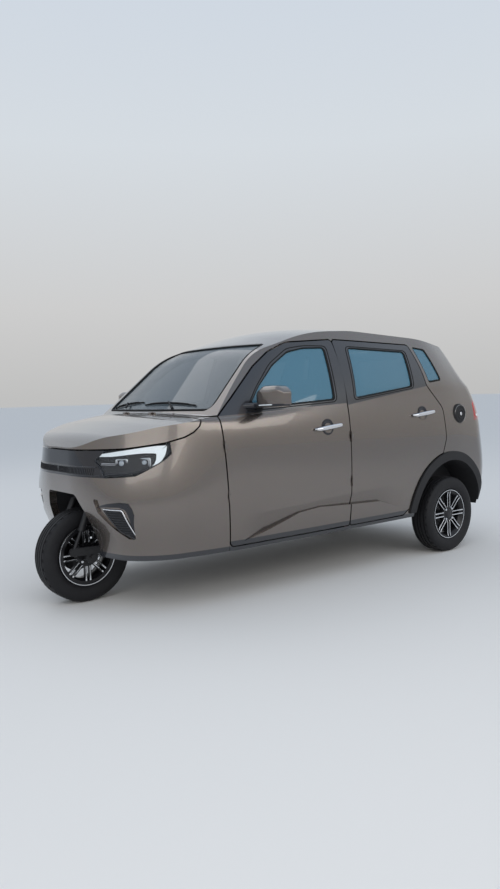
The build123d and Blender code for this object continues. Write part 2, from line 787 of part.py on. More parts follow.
# Fork: stem, crown and two rigid legs behind the axle
leg_foot = Vector(link_pivot[0], 0, link_pivot[1]) - steer_foot
leg_x = leg_foot.dot(steer_plane.x_dir)
leg_low = leg_foot.dot(steer_axis)
with BuildPart() as fork:
    with BuildSketch(steer_plane.offset(crown_low)):
        with Locations(((crown_front + crown_rear) / 2, 0)):
            RectangleRounded(crown_front - crown_rear, 2 * (leg_y + shock_radius), 24)
    extrude(amount=crown_high - crown_low)
    with BuildSketch(steer_plane.offset(crown_high)):
        Circle(stem_radius)
    extrude(amount=head_tube_high - crown_high)
    with BuildSketch(steer_plane.offset(crown_high)):
        Circle(head_tube_radius - 4)
    extrude(amount=head_tube_low - crown_high - head_bore_gap)
    with BuildSketch(steer_plane.offset(leg_low)):
        with Locations((leg_x, leg_y), (leg_x, -leg_y)):
            Circle(leg_radius)
    extrude(amount=crown_low - leg_low)
save(fork, "fork")

# Leading links, carrying the axle pin
link_run = Vector(*link_front) - Vector(*link_pivot)
link_middle = (Vector(*link_front) + Vector(*link_pivot)) / 2
with BuildPart() as fork_links:
    for side in (-1, 1):
        with BuildSketch(Plane.XZ.offset(-side * leg_y - link_width / 2)):
            with Locations((link_middle.X, link_middle.Y)):
                slope = math.degrees(math.atan2(link_run.Y, link_run.X))
                SlotCenterToCenter(link_run.length, link_height, rotation=slope)
            with Locations(front_axle):
                Circle(link_height * 0.8)
        extrude(amount=link_width)
    add(axle_ring(front_axle, -leg_y - link_width, leg_y + link_width, axle_pin_radius))
    add(fork.part, mode=Mode.SUBTRACT)
save(fork_links, "fork_links")

with BuildPart() as front_shocks:
    for side in (-1, 1):
        top = (shock_top[0], side * leg_y, shock_top[1])
        middle = (shock_rod_end[0], side * leg_y, shock_rod_end[1])
        add(rod(middle, top, shock_radius))
        add(rod((link_front[0], side * leg_y, link_front[1]), middle, shock_rod_radius))
    with BuildSketch(steer_plane.offset(crown_low)):
        Rectangle(600, 600)
    extrude(amount=200, mode=Mode.SUBTRACT)
    add(fork_links.part, mode=Mode.SUBTRACT)
save(front_shocks, "front_shocks")


def wheel_pieces(centre, middle_y, face, core_inner_y, bore):
    """The rim and tyre of one wheel. face is +1 when the spokes are on the left side."""
    x, z = centre
    half = rim_width / 2
    section = Plane((x, middle_y, z), x_dir=(0, face, 0), z_dir=(1, 0, 0))
    axle = Axis((x, middle_y, z), (0, 1, 0))
    with BuildPart() as rim:
        with BuildSketch(section):
            with BuildLine():
                Polyline(
                    (-half, rim_seat_radius - rim_wall), (-half, rim_flange_radius),
                    (rim_flange - half, rim_flange_radius), (rim_flange - half, rim_seat_radius),
                    (half - rim_flange, rim_seat_radius), (half - rim_flange, rim_flange_radius),
                    (half, rim_flange_radius), (half, rim_seat_radius - rim_wall),
                    close=True,
                )
            make_face()
        revolve(axis=axle)
        face_y = middle_y + face * (half - 6)
        face_plane = Plane((x, face_y, z), x_dir=(1, 0, 0), z_dir=(0, -face, 0))
        with BuildSketch(face_plane):
            Circle(hub_radius)
        extrude(amount=hub_depth)
        bar_length = rim_seat_radius - rim_wall / 2 - hub_core_radius
        with BuildSketch(face_plane):
            with PolarLocations(0, spoke_pairs):
                for shift in (-1, 1):
                    with Locations((hub_core_radius + bar_length / 2, shift * (spoke_gap + spoke_width) / 2)):
                        Rectangle(bar_length, spoke_width)
        extrude(amount=spoke_depth)
        core_low = min(face_y, core_inner_y)
        core_high = max(face_y, core_inner_y)
        add(axle_ring(centre, core_low, core_high, hub_core_radius))
        with BuildSketch(face_plane):
            with PolarLocations(lug_circle, 4, start_angle=45):
                Circle(lug_hole_radius)
        extrude(amount=hub_depth, mode=Mode.SUBTRACT)
        bore_low, bore_high = sorted((core_inner_y, core_inner_y + face * bore[1]))
        add(axle_ring(centre, bore_low, bore_high, bore[0]), mode=Mode.SUBTRACT)
    belly = tyre_width / 2
    bead = half - rim_flange
    with BuildPart() as tyre:
        with BuildSketch(section):
            with BuildLine():
                FilletPolyline(
                    (-bead, rim_seat_radius), (-bead, rim_flange_radius + 1), (-belly, 200), (-belly, 226),
                    (-belly + 10, 250), (-belly + 24, tyre_radius), (belly - 24, tyre_radius),
                    (belly - 10, 250), (belly, 226), (belly, 200), (bead, rim_flange_radius + 1),
                    (bead, rim_seat_radius),
                    radius=[1, 1, 12, 12, 14, 8, 8, 14, 12, 12, 1, 1],
                    close=True,
                )
            make_face()
        revolve(axis=axle)
    return rim, tyre


hub_reach = leg_y - link_width / 2 - 1
rim, tyre = wheel_pieces(front_axle, 0, 1, -hub_reach, (axle_pin_radius + pin_gap, 2 * hub_reach))
with BuildPart() as front_rim:
    add(rim.part)
    add(axle_ring(front_axle, -hub_reach, hub_reach, hub_core_radius))
    add(axle_ring(front_axle, disc_y - disc_thickness, disc_y, disc_radius))
    add(axle_ring(front_axle, -hub_reach, hub_reach, axle_pin_radius + pin_gap), mode=Mode.SUBTRACT)
save(front_rim, "rim_front")
save(tyre, "tyre_front")

# Rear axle: tubes, differential housing, drums and stubs
stub_end = rear_wheel_y + 20
drum_face = rear_wheel_y - rim_width / 2 + 20
with BuildPart() as rear_axle_case:
    add(axle_ring(rear_axle, -drum_face, drum_face, axle_tube_radius))
    for side in (-1, 1):
        low_y, high_y = sorted((side * (drum_face - drum_depth), side * drum_face))
        add(axle_ring(rear_axle, low_y, high_y, drum_radius))
    add(axle_ring(rear_axle, -stub_end, stub_end, stub_radius))
    with BuildSketch(Plane((rear_axle_x, -120, tyre_radius), x_dir=(1, 0, 0), z_dir=(0, 1, 0))):
        Circle(differential_radius * 0.6)
    with BuildSketch(Plane((rear_axle_x, 0, tyre_radius), x_dir=(1, 0, 0), z_dir=(0, 1, 0))):
        Circle(differential_radius)
    with BuildSketch(Plane((rear_axle_x, 120, tyre_radius), x_dir=(1, 0, 0), z_dir=(0, 1, 0))):
        Circle(differential_radius * 0.6)
    loft(ruled=True)
save(rear_axle_case, "rear_axle")

for side, label in ((1, "left"), (-1, "right")):
    core_inner = side * (drum_face + 1)
    stub_bore = (stub_radius + pin_gap, stub_end - drum_face)
    rim, tyre = wheel_pieces(rear_axle, side * rear_wheel_y, side, core_inner, stub_bore)
    save(rim, "rim_rear_" + label)
    save(tyre, "tyre_rear_" + label)

# Chassis rails with a kick up over the rear axle, and their cross members
rail_top = rail_bottom + rail_height
kick_top = kick_bottom + rail_height
rail_line = [
    (post_x, rail_bottom), (kick_front_x - 20, rail_bottom), (kick_rear_x - 20, kick_bottom),
    (rail_rear_x, kick_bottom), (rail_rear_x, kick_top), (kick_rear_x, kick_top),
    (kick_front_x, rail_top), (post_x, rail_top),
]
engine_low = rail_bottom + 10
CROSS_MEMBERS = [
    # x from, x to, z from, z to
    (post_x - 50, post_x - 5, rail_bottom, rail_top),
    (engine_x + 90, engine_x + 130, rail_bottom - 20, engine_low),
    (engine_x - 130, engine_x - 90, rail_bottom - 20, engine_low),
    (-840, -790, kick_bottom, kick_top),
    (rail_rear_x, rail_rear_x + 50, kick_bottom, kick_top),
]
tow_eye_x = -1490
tow_eye_z = 262
tow_bore = 14
tow_wall = 12
tow_plate_y = 140
tow_plate_thickness = 16
with BuildPart() as chassis:
    for side in (-1, 1):
        low_y, high_y = sorted((side * rail_y, side * rail_outer))
        add(side_slab(rail_line, 0, low_y, high_y))
    for low_x, high_x, low_z, high_z in CROSS_MEMBERS:
        add(box_between((low_x, -rail_y - 5, low_z), (high_x, rail_y + 5, high_z)))
    tow_half = tow_bore + tow_wall
    tow_top = tow_eye_z + tow_bore + 6
    tow_low = tow_eye_z - tow_half
    tow_plate = [
        (rail_rear_x + 20, kick_bottom + 5), (rail_rear_x + 20, tow_top), (tow_eye_x - tow_half, tow_top),
        (tow_eye_x - tow_half, tow_low), (rail_rear_x + 50, tow_low), (rail_rear_x + 50, kick_bottom + 5),
    ]
    tow_end_y = tow_plate_y + tow_plate_thickness
    add(side_slab(tow_plate, 0, tow_plate_y, tow_end_y))
    add(axle_ring((tow_eye_x, tow_eye_z), tow_plate_y - 1, tow_end_y + 1, tow_bore), mode=Mode.SUBTRACT)
save(chassis, "chassis_frame")

# Floor: a flat pan, a step over the kick up, a load floor and the riser under the seats
pan_top = rail_top + floor_thickness
step = floor_thickness * 1.2
floor_line = [
    (firewall_x, rail_top), (kick_front_x, rail_top), (kick_rear_x, kick_top), (rail_rear_x, kick_top),
    (rail_rear_x, kick_top + floor_thickness), (kick_rear_x + step / 3, kick_top + floor_thickness),
    (kick_front_x + step / 3, pan_top), (firewall_x, pan_top),
]
with BuildPart() as floor_pan:
    add(side_slab(floor_line, 0, -cut_width, cut_width))
    add(box_between((riser_rear_x, -cut_width, rail_top), (riser_front_x, cut_width, riser_top)))
    low = (riser_rear_x + floor_thickness, -cut_width, pan_top)
    high = (riser_front_x - floor_thickness, cut_width, riser_top - floor_thickness)
    add(box_between(low, high), mode=Mode.SUBTRACT)
    low = (engine_x - engine_size[0] / 2 - 15, -rail_y, 0)
    high = (engine_x + engine_size[0] / 2 + 15, rail_y, pan_top)
    add(box_between(low, high), mode=Mode.SUBTRACT)
    add(cabin_inner, mode=Mode.INTERSECT)
    for side in (-1, 1):
        low_y, high_y = sorted((side * liner_inner_y, side * cut_width))
        add(axle_ring(rear_axle, low_y, high_y, arch_radius + liner_thickness), mode=Mode.SUBTRACT)
save(floor_pan, "floor_pan")

with BuildPart() as engine:
    with Locations((engine_x, 0, engine_low + engine_size[2] / 2)):
        Box(*engine_size)
    chamfer(engine.edges().filter_by(Axis.X).group_by(Axis.Z)[-1], 30)
save(engine, "engine")

engine_rear = engine_x - engine_size[0] / 2
with BuildPart() as drive_shaft:
    add(rod((engine_rear - 1, 0, 270), (rear_axle_x, 0, tyre_radius), shaft_radius))
    add(rear_axle_case.part, mode=Mode.SUBTRACT)
save(drive_shaft, "drive_shaft")

silencer_front = (-660, -165, 290)
silencer_rear = (-920, -165, 290)
with BuildPart() as exhaust:
    add(rod((engine_rear - 1, -125, 268), (silencer_front[0] - 20, -150, 272), pipe_radius))
    add(rod(silencer_front, silencer_rear, silencer_radius))
    with BuildLine() as tail_path:
        FilletPolyline(
            (silencer_rear[0] + 20, -170, 318), (-1170, -170, 328), (-1330, -170, 262), (-1600, -170, 255),
            radius=120,
        )
    with BuildSketch(Plane(tail_path.line @ 0, z_dir=tail_path.line % 0)):
        Circle(pipe_radius)
    sweep(path=tail_path.line)
save(exhaust, "exhaust")

# Leaf springs, from the front hanger over the axle to the shackle
spring_low = tyre_radius + axle_tube_radius
spring_y = rail_y + rail_width / 2
with BuildPart() as rear_springs:
    for side in (-1, 1):
        low_y, high_y = sorted((side * (spring_y - leaf_width / 2), side * (spring_y + leaf_width / 2)))
        front_x = rear_axle_x + 330
        rear_x = rear_axle_x - 380
        front_z = spring_low + 50
        rear_z = spring_low + 40
        leaf = [
            (front_x, front_z), (front_x, front_z + leaf_thickness / 2),
            (rear_axle_x, spring_low + leaf_thickness), (rear_x, rear_z + leaf_thickness / 2),
            (rear_x, rear_z), (rear_axle_x - 120, spring_low), (rear_axle_x + 120, spring_low),
        ]
        add(side_slab(leaf, 0, low_y, high_y))
        add(box_between((rear_x, low_y, rear_z), (rear_x + 30, high_y, kick_bottom)))
        add(box_between((front_x - 30, low_y, front_z), (front_x, high_y, kick_bottom + 20)))
    add(chassis.part, mode=Mode.SUBTRACT)
    add(rear_axle_case.part, mode=Mode.SUBTRACT)
save(rear_springs, "rear_springs")

# Inside: dashboard, steering wheel, front seats and rear bench
DASHBOARD = [
    (firewall_x, 620), (firewall_x, 985), (760, 1000), (640, 960), (600, 860), (640, 760), (800, 640),
]
with BuildPart() as dashboard:
    add(side_slab(DASHBOARD, 12, -cut_width, cut_width))
    add(box_between((firewall_x - 14, -cut_width, 600), (firewall_x, cut_width, 990)))
    add(cabin_inner, mode=Mode.INTERSECT)
save(dashboard, "dashboard")

tilt = math.radians(column_tilt)
column_dir = Vector(-math.cos(tilt), 0, math.sin(tilt))
wheel_centre = Vector(steering_wheel_x, seat_y, steering_wheel_z)
wheel_plane = Plane(wheel_centre, x_dir=(0, 1, 0), z_dir=column_dir)
with BuildPart() as steering_wheel:
    grip_middle = wheel_centre + Vector(0, wheel_ring_radius, 0)
    with BuildSketch(Plane(grip_middle, x_dir=(0, 1, 0), z_dir=column_dir.cross(Vector(0, 1, 0)))):
        Circle(wheel_grip_radius)
    revolve(axis=Axis(wheel_centre, column_dir))
    with BuildSketch(wheel_plane.offset(-12)):
        Circle(48)
        for angle in (0, 90, 180):
            with PolarLocations(wheel_ring_radius / 2, 1, start_angle=angle):
                Rectangle(wheel_ring_radius, 34)
    extrude(amount=20)
save(steering_wheel, "steering_wheel")
with BuildPart() as steering_column:
    add(rod(tuple(wheel_centre - column_dir * 260), tuple(wheel_centre - column_dir * 13), 26))
    add(dashboard.part, mode=Mode.SUBTRACT)
save(steering_column, "steering_column")

SEAT = [
    (400, riser_top), (430, 560), (400, 600), (70, 580), (-40, 1090), (-60, 1230), (-140, 1220),
    (-125, 1080), (-40, 560), (-30, riser_top),
]
with BuildPart() as front_seats:
    for side in (-1, 1):
        middle = side * seat_y
        add(side_slab(SEAT, 0, middle - seat_width / 2, middle + seat_width / 2))
save(front_seats, "front_seats")

BENCH = [
    (-380, pan_top), (-360, 520), (-400, 570), (-740, 545), (-860, 1040), (-960, 1040),
    (-880, kick_top + floor_thickness), (kick_rear_x + step / 3, kick_top + floor_thickness),
    (kick_front_x + step / 3, pan_top),
]
with BuildPart() as rear_bench:
    add(side_slab(BENCH, 0, -bench_half_width, bench_half_width))
save(rear_bench, "rear_bench")
print("done")
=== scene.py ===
# %% [markdown]
# # A three wheeled car
#
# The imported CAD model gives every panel, wheel and hinge its true place and size. This script dresses it:
# it gives each node a finish, and builds the pieces whose looks need more shape than the solids have.
# Everything is in metres, with +X forward, +Y to the car's left and +Z up.

# %% Load the frame
import math
import bpy
import bmesh
from mathutils import Matrix, Vector


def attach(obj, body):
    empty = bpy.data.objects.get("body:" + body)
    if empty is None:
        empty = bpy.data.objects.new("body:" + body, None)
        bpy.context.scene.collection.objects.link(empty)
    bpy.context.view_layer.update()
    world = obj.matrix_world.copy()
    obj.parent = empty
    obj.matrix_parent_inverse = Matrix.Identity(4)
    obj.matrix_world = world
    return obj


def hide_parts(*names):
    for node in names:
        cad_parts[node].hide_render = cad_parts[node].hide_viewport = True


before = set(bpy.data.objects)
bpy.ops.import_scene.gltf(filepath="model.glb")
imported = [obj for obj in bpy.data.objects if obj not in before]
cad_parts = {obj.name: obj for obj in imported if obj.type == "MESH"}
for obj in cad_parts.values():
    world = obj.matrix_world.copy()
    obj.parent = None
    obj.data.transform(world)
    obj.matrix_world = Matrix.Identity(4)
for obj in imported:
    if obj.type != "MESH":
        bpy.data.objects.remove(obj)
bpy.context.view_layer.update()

# %% [markdown]
# ## Camera
#
# The picture was taken from ahead of the car and to its left, at about the height of the bonnet.
# Three turns place the view: yaw round the vertical, pitch downwards and a slight roll.
# The lens is a normal wide angle, with no shift, so other views can reuse the same camera.

# %% Camera
CAMERA_PLACE = (3.137, 3.740, 1.122)
LENS_MM = 29.23
SENSOR_MM = 36
yaw, pitch, roll = -0.6735, 0.0674, -0.0277
ahead = Vector((math.sin(yaw) * math.cos(pitch), -math.cos(yaw) * math.cos(pitch), -math.sin(pitch)))
right = ahead.cross(Vector((0, 0, 1))).normalized()
up = right.cross(ahead)
rolled_right = math.cos(roll) * right + math.sin(roll) * up
rolled_up = math.cos(roll) * up - math.sin(roll) * right
bpy.ops.object.camera_add(location=(0, 0, 0))
camera = bpy.context.object
camera.name = "view_camera"
turn = Matrix((rolled_right, rolled_up, -ahead)).transposed().to_4x4()
camera.matrix_world = Matrix.Translation(CAMERA_PLACE) @ turn
camera.data.lens = LENS_MM
camera.data.sensor_width = SENSOR_MM
bpy.context.scene.camera = camera
print("camera at", CAMERA_PLACE)

# %% [markdown]
# ## Light and floor
#
# Glossy paint shows what stands round it, so the light comes from a pale room: a soft sky overhead, one
# large key panel in front, and two weaker panels at the sides. The floor is a plain pale sheet.

# %% Studio
scene = bpy.context.scene
scene.view_settings.view_transform = "Standard"


def panel_light(name, place, target, size, power, colour):
    """A large soft panel that faces the target."""
    bpy.ops.object.light_add(type="AREA", location=place)
    lamp = bpy.context.object
    lamp.name = name
    lamp.data.shape = "RECTANGLE"
    lamp.data.size, lamp.data.size_y = size
    lamp.data.energy = power
    lamp.data.color = colour
    lamp.rotation_euler = (Vector(target) - Vector(place)).to_track_quat("-Z", "Y").to_euler()
    return lamp


PANELS = [
    # name, place, target, size, watts, colour
    ("key_panel", (5.0, 4.5, 5.0), (0.2, 0, 0.6), (6.0, 5.0), 120, (1.0, 0.96, 0.90)),
    ("left_panel", (-1.0, 6.5, 3.4), (-0.3, 0, 0.7), (7.0, 2.0), 80, (1.0, 0.96, 0.90)),
    ("right_panel", (0.5, -4.5, 7.5), (0, 0, 0.7), (7.0, 5.0), 80, (1.0, 0.97, 0.94)),
]
for settings in PANELS:
    panel_light(*settings)

# %% Room and floor
ROOM_STRENGTH = 0.9
ROOM_BANDS = [
    # height of the direction, colour
    (0.0, (0.50, 0.50, 0.50)), (0.50, (0.58, 0.58, 0.575)), (0.56, (0.68, 0.68, 0.68)),
    (0.66, (0.74, 0.79, 0.84)), (0.80, (0.66, 0.74, 0.85)), (1.0, (0.58, 0.69, 0.84)),
]
FLOOR_SIZE = 300
FLOOR_COLOUR = (0.76, 0.745, 0.725)


def link(tree, from_socket, to_socket):
    tree.links.new(from_socket, to_socket)


def add(tree, kind, inputs=None, **settings):
    """A new shader node of this kind with its settings and the values of its inputs."""
    node = tree.nodes.new("ShaderNode" + kind)
    for key, value in settings.items():
        setattr(node, key, value)
    for key, value in (inputs or {}).items():
        node.inputs[key].default_value = value
    return node


world = bpy.data.worlds.new("pale_room")
scene.world = world
world.use_nodes = True
room = world.node_tree
where = add(room, "TexCoord")
split = add(room, "SeparateXYZ")
link(room, where.outputs["Generated"], split.inputs["Vector"])
bands = add(room, "ValToRGB")
while len(bands.color_ramp.elements) < len(ROOM_BANDS):
    bands.color_ramp.elements.new(0.5)
for stop, (position, colour) in zip(bands.color_ramp.elements, ROOM_BANDS):
    stop.position = position
    stop.color = (*colour, 1)
height = add(room, "MapRange", {"From Min": -1})
link(room, split.outputs["Z"], height.inputs["Value"])
link(room, height.outputs["Result"], bands.inputs["Fac"])
link(room, bands.outputs["Color"], room.nodes["Background"].inputs["Color"])
room.nodes["Background"].inputs["Strength"].default_value = ROOM_STRENGTH

bpy.ops.mesh.primitive_plane_add(size=FLOOR_SIZE, location=(0, 0, 0))
floor = bpy.context.object
floor.name = "studio_floor"
pale = bpy.data.materials.new("pale_floor")
pale.use_nodes = True
dull = pale.node_tree.nodes["Principled BSDF"]
dull.inputs["Base Color"].default_value = (*FLOOR_COLOUR, 1)
dull.inputs["Roughness"].default_value = 1.0
dull.inputs["Specular IOR Level"].default_value = 0.1
floor.data.materials.append(pale)
print("panels", len(PANELS), "and a floor of", FLOOR_SIZE, "m")

# %% [markdown]
# ## Finishes
#
# Each finish is a small node tree that reads the piece's own coordinates, so a pattern keeps its real
# scale and stays put when a door opens. `finish` makes the common part: a base colour that varies a
# little, a roughness, and a fine grain as bump. The special ones add to it.

# %% Finish maker


def finish(name, colour, roughness, metallic=0.0, coat=0.0, variation=0.12, patch=6.0, grain=400.0, depth=0.0004,
           gloss=0.5):
    """A material with slow colour variation (patch, per metre) and a fine grain (per metre, metres deep)."""
    material = bpy.data.materials.new(name)
    material.use_nodes = True
    tree = material.node_tree
    shader = tree.nodes["Principled BSDF"]
    sockets = {"Roughness": roughness, "Metallic": metallic, "Coat Weight": coat, "Coat Roughness": 0.03,
               "Specular IOR Level": gloss}
    for key, value in sockets.items():
        shader.inputs[key].default_value = value
    place = add(tree, "TexCoord").outputs["Object"]
    clouds = add(tree, "TexNoise", {"Scale": patch, "Detail": 4})
    link(tree, place, clouds.inputs["Vector"])
    dark = [c * (1 - variation) for c in colour]
    light = [min(1, c * (1 + variation)) for c in colour]
    mix = add(tree, "Mix", {"A": (*dark, 1), "B": (*light, 1)}, data_type="RGBA", name="Tone")
    link(tree, clouds.outputs["Fac"], mix.inputs["Factor"])
    link(tree, mix.outputs["Result"], shader.inputs["Base Color"])
    if depth:
        fine = add(tree, "TexNoise", {"Scale": grain, "Detail": 2})
        link(tree, place, fine.inputs["Vector"])
        bump = add(tree, "Bump", {"Strength": 0.5, "Distance": depth})
        link(tree, fine.outputs["Fac"], bump.inputs["Height"])
        link(tree, bump.outputs["Normal"], shader.inputs["Normal"])
    return material


def object_place(tree):
    """The socket of a finish that gives the point in the piece's own coordinates."""
    return [node for node in tree.nodes if node.type == "TEX_COORD"][0].outputs["Object"]


# %% [markdown]
# Metallic paint is a dark base full of tiny bright flakes under a clear coat. The flakes are a very fine
# cell pattern that lightens the base, and the coat is the shader's own. The window frames and the strip
# under the doors are black on the same panels, so a mask switches the base colour: one plane marks
# all that lies above the belt line, another what lies below the sill.

# %% Paint
PAINT = (0.186, 0.161, 0.145)
PAINT_METAL = 0.92
BLACK = (0.012, 0.013, 0.018)
FLAKES_PER_METRE = 1400


def plane_mask(tree, place, normal, offset):
    """A socket that is 1 where the point times the normal is above the offset, and 0 elsewhere."""
    dot = add(tree, "VectorMath", {1: normal}, operation="DOT_PRODUCT")
    link(tree, place, dot.inputs[0])
    above = add(tree, "Math", {1: offset}, operation="GREATER_THAN")
    link(tree, dot.outputs["Value"], above.inputs[0])
    return above.outputs["Value"]


def paint(name, belt=None, sill=None):
    """Metallic paint, black above the belt plane and below the sill plane where these are given."""
    material = finish(name, PAINT, 0.27, metallic=PAINT_METAL, coat=1.0, variation=0.04, patch=2.0, depth=0)
    tree = material.node_tree
    shader = tree.nodes["Principled BSDF"]
    place = object_place(tree)
    flakes = add(tree, "TexVoronoi", {"Scale": FLAKES_PER_METRE})
    link(tree, place, flakes.inputs["Vector"])
    sparkle = add(tree, "Mix", {"Factor": 0.35}, data_type="RGBA", blend_type="SOFT_LIGHT")
    link(tree, tree.nodes["Tone"].outputs["Result"], sparkle.inputs["A"])
    link(tree, flakes.outputs["Color"], sparkle.inputs["B"])
    base = sparkle.outputs["Result"]
    masks = []
    if belt:
        masks.append(plane_mask(tree, place, belt[0], belt[1]))
    if sill:
        masks.append(plane_mask(tree, place, (0, 0, -1), -sill))
    for mask in masks:
        swap = add(tree, "Mix", {"B": (*BLACK, 1)}, data_type="RGBA")
        link(tree, mask, swap.inputs["Factor"])
        link(tree, base, swap.inputs["A"])
        base = swap.outputs["Result"]
    link(tree, base, shader.inputs["Base Color"])
    if masks:
        metal = add(tree, "MapRange", {"To Min": PAINT_METAL, "To Max": 0.0})
        total = masks[0]
        if len(masks) == 2:
            both = add(tree, "Math", operation="MAXIMUM")
            link(tree, masks[0], both.inputs[0])
            link(tree, masks[1], both.inputs[1])
            total = both.outputs["Value"]
        link(tree, total, metal.inputs["Value"])
        link(tree, metal.outputs["Result"], shader.inputs["Metallic"])
    return material


# %% Paint, trim and metal finishes
body_paint = paint("metallic_paint", sill=0.318)
front_door_paint = paint("front_door_paint", belt=((0.046, 0, 1), 1.059), sill=0.345)
rear_door_paint = paint("rear_door_paint", belt=((0.134, 0, 1), 1.042), sill=0.345)
panel_paint = paint("panel_paint")
gloss_black = finish("gloss_black", BLACK, 0.12, coat=0.7, variation=0.3, depth=0.0001, grain=60, gloss=0.2)
trim_black = finish("grained_black", (0.020, 0.020, 0.022), 0.62, variation=0.2, grain=900, depth=0.0006, gloss=0.3)
rubber = finish("seal_rubber", (0.010, 0.010, 0.010), 0.7, variation=0.2, grain=600, depth=0.0004, gloss=0.25)
bright = finish("bright_plate", (0.78, 0.78, 0.8), 0.09, metallic=1.0, variation=0.04, grain=30, depth=0.0001)
alloy_black = finish("alloy_black", (0.011, 0.011, 0.013), 0.34, coat=0.3, variation=0.2, grain=300, depth=0.0002,
                     gloss=0.2)
dark_metal = finish("black_steel", (0.02, 0.02, 0.022), 0.45, metallic=0.3, variation=0.35, patch=30, grain=250)
bare_steel = finish("bare_steel", (0.42, 0.41, 0.4), 0.36, metallic=1.0, variation=0.2, patch=40, grain=700)
cast_metal = finish("cast_metal", (0.12, 0.12, 0.125), 0.6, metallic=0.8, variation=0.3, patch=25, grain=300,
                    depth=0.0012)
carpet = finish("carpet", (0.03, 0.03, 0.032), 0.95, variation=0.4, patch=60, grain=1500, depth=0.002)
dash_skin = finish("dash_skin", (0.03, 0.03, 0.034), 0.55, variation=0.15, grain=1100, depth=0.0008)
lens_red = finish("lens_red", (0.26, 0.008, 0.010), 0.15, coat=1.0, variation=0.25, patch=80, grain=500, depth=0.0005)
guide_red = finish("guide_red", (0.62, 0.02, 0.016), 0.25, coat=1.0, variation=0.1, patch=80, depth=0)
blank_plate = finish("blank_plate", (0.50, 0.50, 0.49), 0.4, metallic=0.2, variation=0.06, grain=120, depth=0.0002)

# %% [markdown]
# Glass is a thin film of colour with a mirror finish. The side windows are tinted and mostly reflect the
# sky; the windshield lets the cabin show; the lenses are nearly clear.

# %% Glass


def pane(name, colour, alpha, roughness=0.03):
    """See-through glass whose opacity is the share that its tint and its reflections hide."""
    material = finish(name, colour, roughness, coat=1.0, variation=0.06, patch=1.5, depth=0)
    material.node_tree.nodes["Principled BSDF"].inputs["Alpha"].default_value = alpha
    return material


side_glass = pane("side_glass", (0.07, 0.22, 0.32), 0.66)
front_glass = pane("front_glass", (0.09, 0.125, 0.15), 0.50)
rear_glass = pane("rear_glass", (0.03, 0.05, 0.07), 0.72)
lens_glass = pane("lens_glass", (0.30, 0.33, 0.36), 0.06)

# %% [markdown]
# ## Dress the CAD nodes
#
# A node's mesh is loose triangles. Two modifiers make it look like a smooth panel without touching the
# mesh: Weld joins the triangles, and Edge Split keeps the real corners sharp. The doors split at a smaller
# angle, because the crease along their lower half is shallow.

# %% Dress the nodes
PANEL_ANGLE, DOOR_ANGLE = 28, 10
WELD_GAP = 0.00002
DRESS = {
    body_paint: ["cabin_shell", "rear_bumper", "front_clip"],
    panel_paint: ["hood", "tailgate", "bumper_vents"],
    front_door_paint: ["door_front_left", "door_front_right"],
    rear_door_paint: ["door_rear_left", "door_rear_right"],
    side_glass: ["glass_front_left", "glass_front_right", "glass_rear_left", "glass_rear_right", "quarter_glass"],
    front_glass: ["windshield"],
    rear_glass: ["tailgate_glass"],
    lens_glass: ["headlamps"],
    lens_red: ["tail_lamps"],
    gloss_black: ["grille"],
    trim_black: ["arch_liners", "front_wheel_housing", "fuel_cap"],
    rubber: ["wipers", "tyre_front", "tyre_rear_left", "tyre_rear_right"],
    bright: ["handle_front_left", "handle_front_right", "handle_rear_left", "handle_rear_right"],
    dark_metal: ["fork", "fork_links", "front_frame", "chassis_frame", "rear_springs", "front_shocks"],
    bare_steel: ["drive_shaft", "exhaust"],
    alloy_black: ["rim_front", "rim_rear_left", "rim_rear_right"],
    cast_metal: ["rear_axle", "engine"],
    carpet: ["floor_pan", "front_seats", "rear_bench"],
    dash_skin: ["dashboard", "steering_wheel", "steering_column"],
}


def object_mode():
    """Leaves edit mode and lets go of everything, so that the next operator acts on one piece."""
    if bpy.context.object and bpy.context.object.mode != "OBJECT":
        bpy.ops.object.mode_set(mode="OBJECT")
    bpy.ops.object.select_all(action="DESELECT")


def pick(piece):
    """Makes one piece the selected and active one."""
    object_mode()
    piece.select_set(True)
    bpy.context.view_layer.objects.active = piece


def smooth_panel(node, angle):
    """Welds a node's triangles for shading and splits its sharp edges, by modifiers alone."""
    node.data.polygons.foreach_set("use_smooth", [True] * len(node.data.polygons))
    weld = node.modifiers.new("weld", "WELD")
    weld.merge_threshold = WELD_GAP
    split = node.modifiers.new("split", "EDGE_SPLIT")
    split.split_angle = math.radians(angle)


def in_finish(piece, *materials):
    """Gives the piece these finishes and no other."""
    piece.data.materials.clear()
    for material in materials:
        piece.data.materials.append(material)


for material, names in DRESS.items():
    for name in names:
        node = bpy.data.objects[name]
        in_finish(node, material)
        smooth_panel(node, DOOR_ANGLE if name.startswith("door_") else PANEL_ANGLE)
print("dressed", sum(len(names) for names in DRESS.values()), "of", len(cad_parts))

# %% [markdown]
# ## Tyres
#
# A tyre is one section swept round the axle. The section is drawn as a chain of points, each extruded
# from the last, with the grooves that run round the tread in it; `spin` then makes the ring. The short
# cuts of the shoulders come after: every third face there is pushed in.

# %% Selecting by place


def edit(piece, kind="VERT"):
    """Edit mode on one piece, nothing selected, and its mesh for selecting by place."""
    pick(piece)
    bpy.ops.object.mode_set(mode="EDIT")
    bpy.ops.mesh.select_mode(type=kind)
    bpy.ops.mesh.select_all(action="DESELECT")
    return bmesh.from_edit_mesh(piece.data)


def whole(piece):
    """Edit mode on one piece with all of it selected."""
    edit(piece)
    bpy.ops.mesh.select_all(action="SELECT")


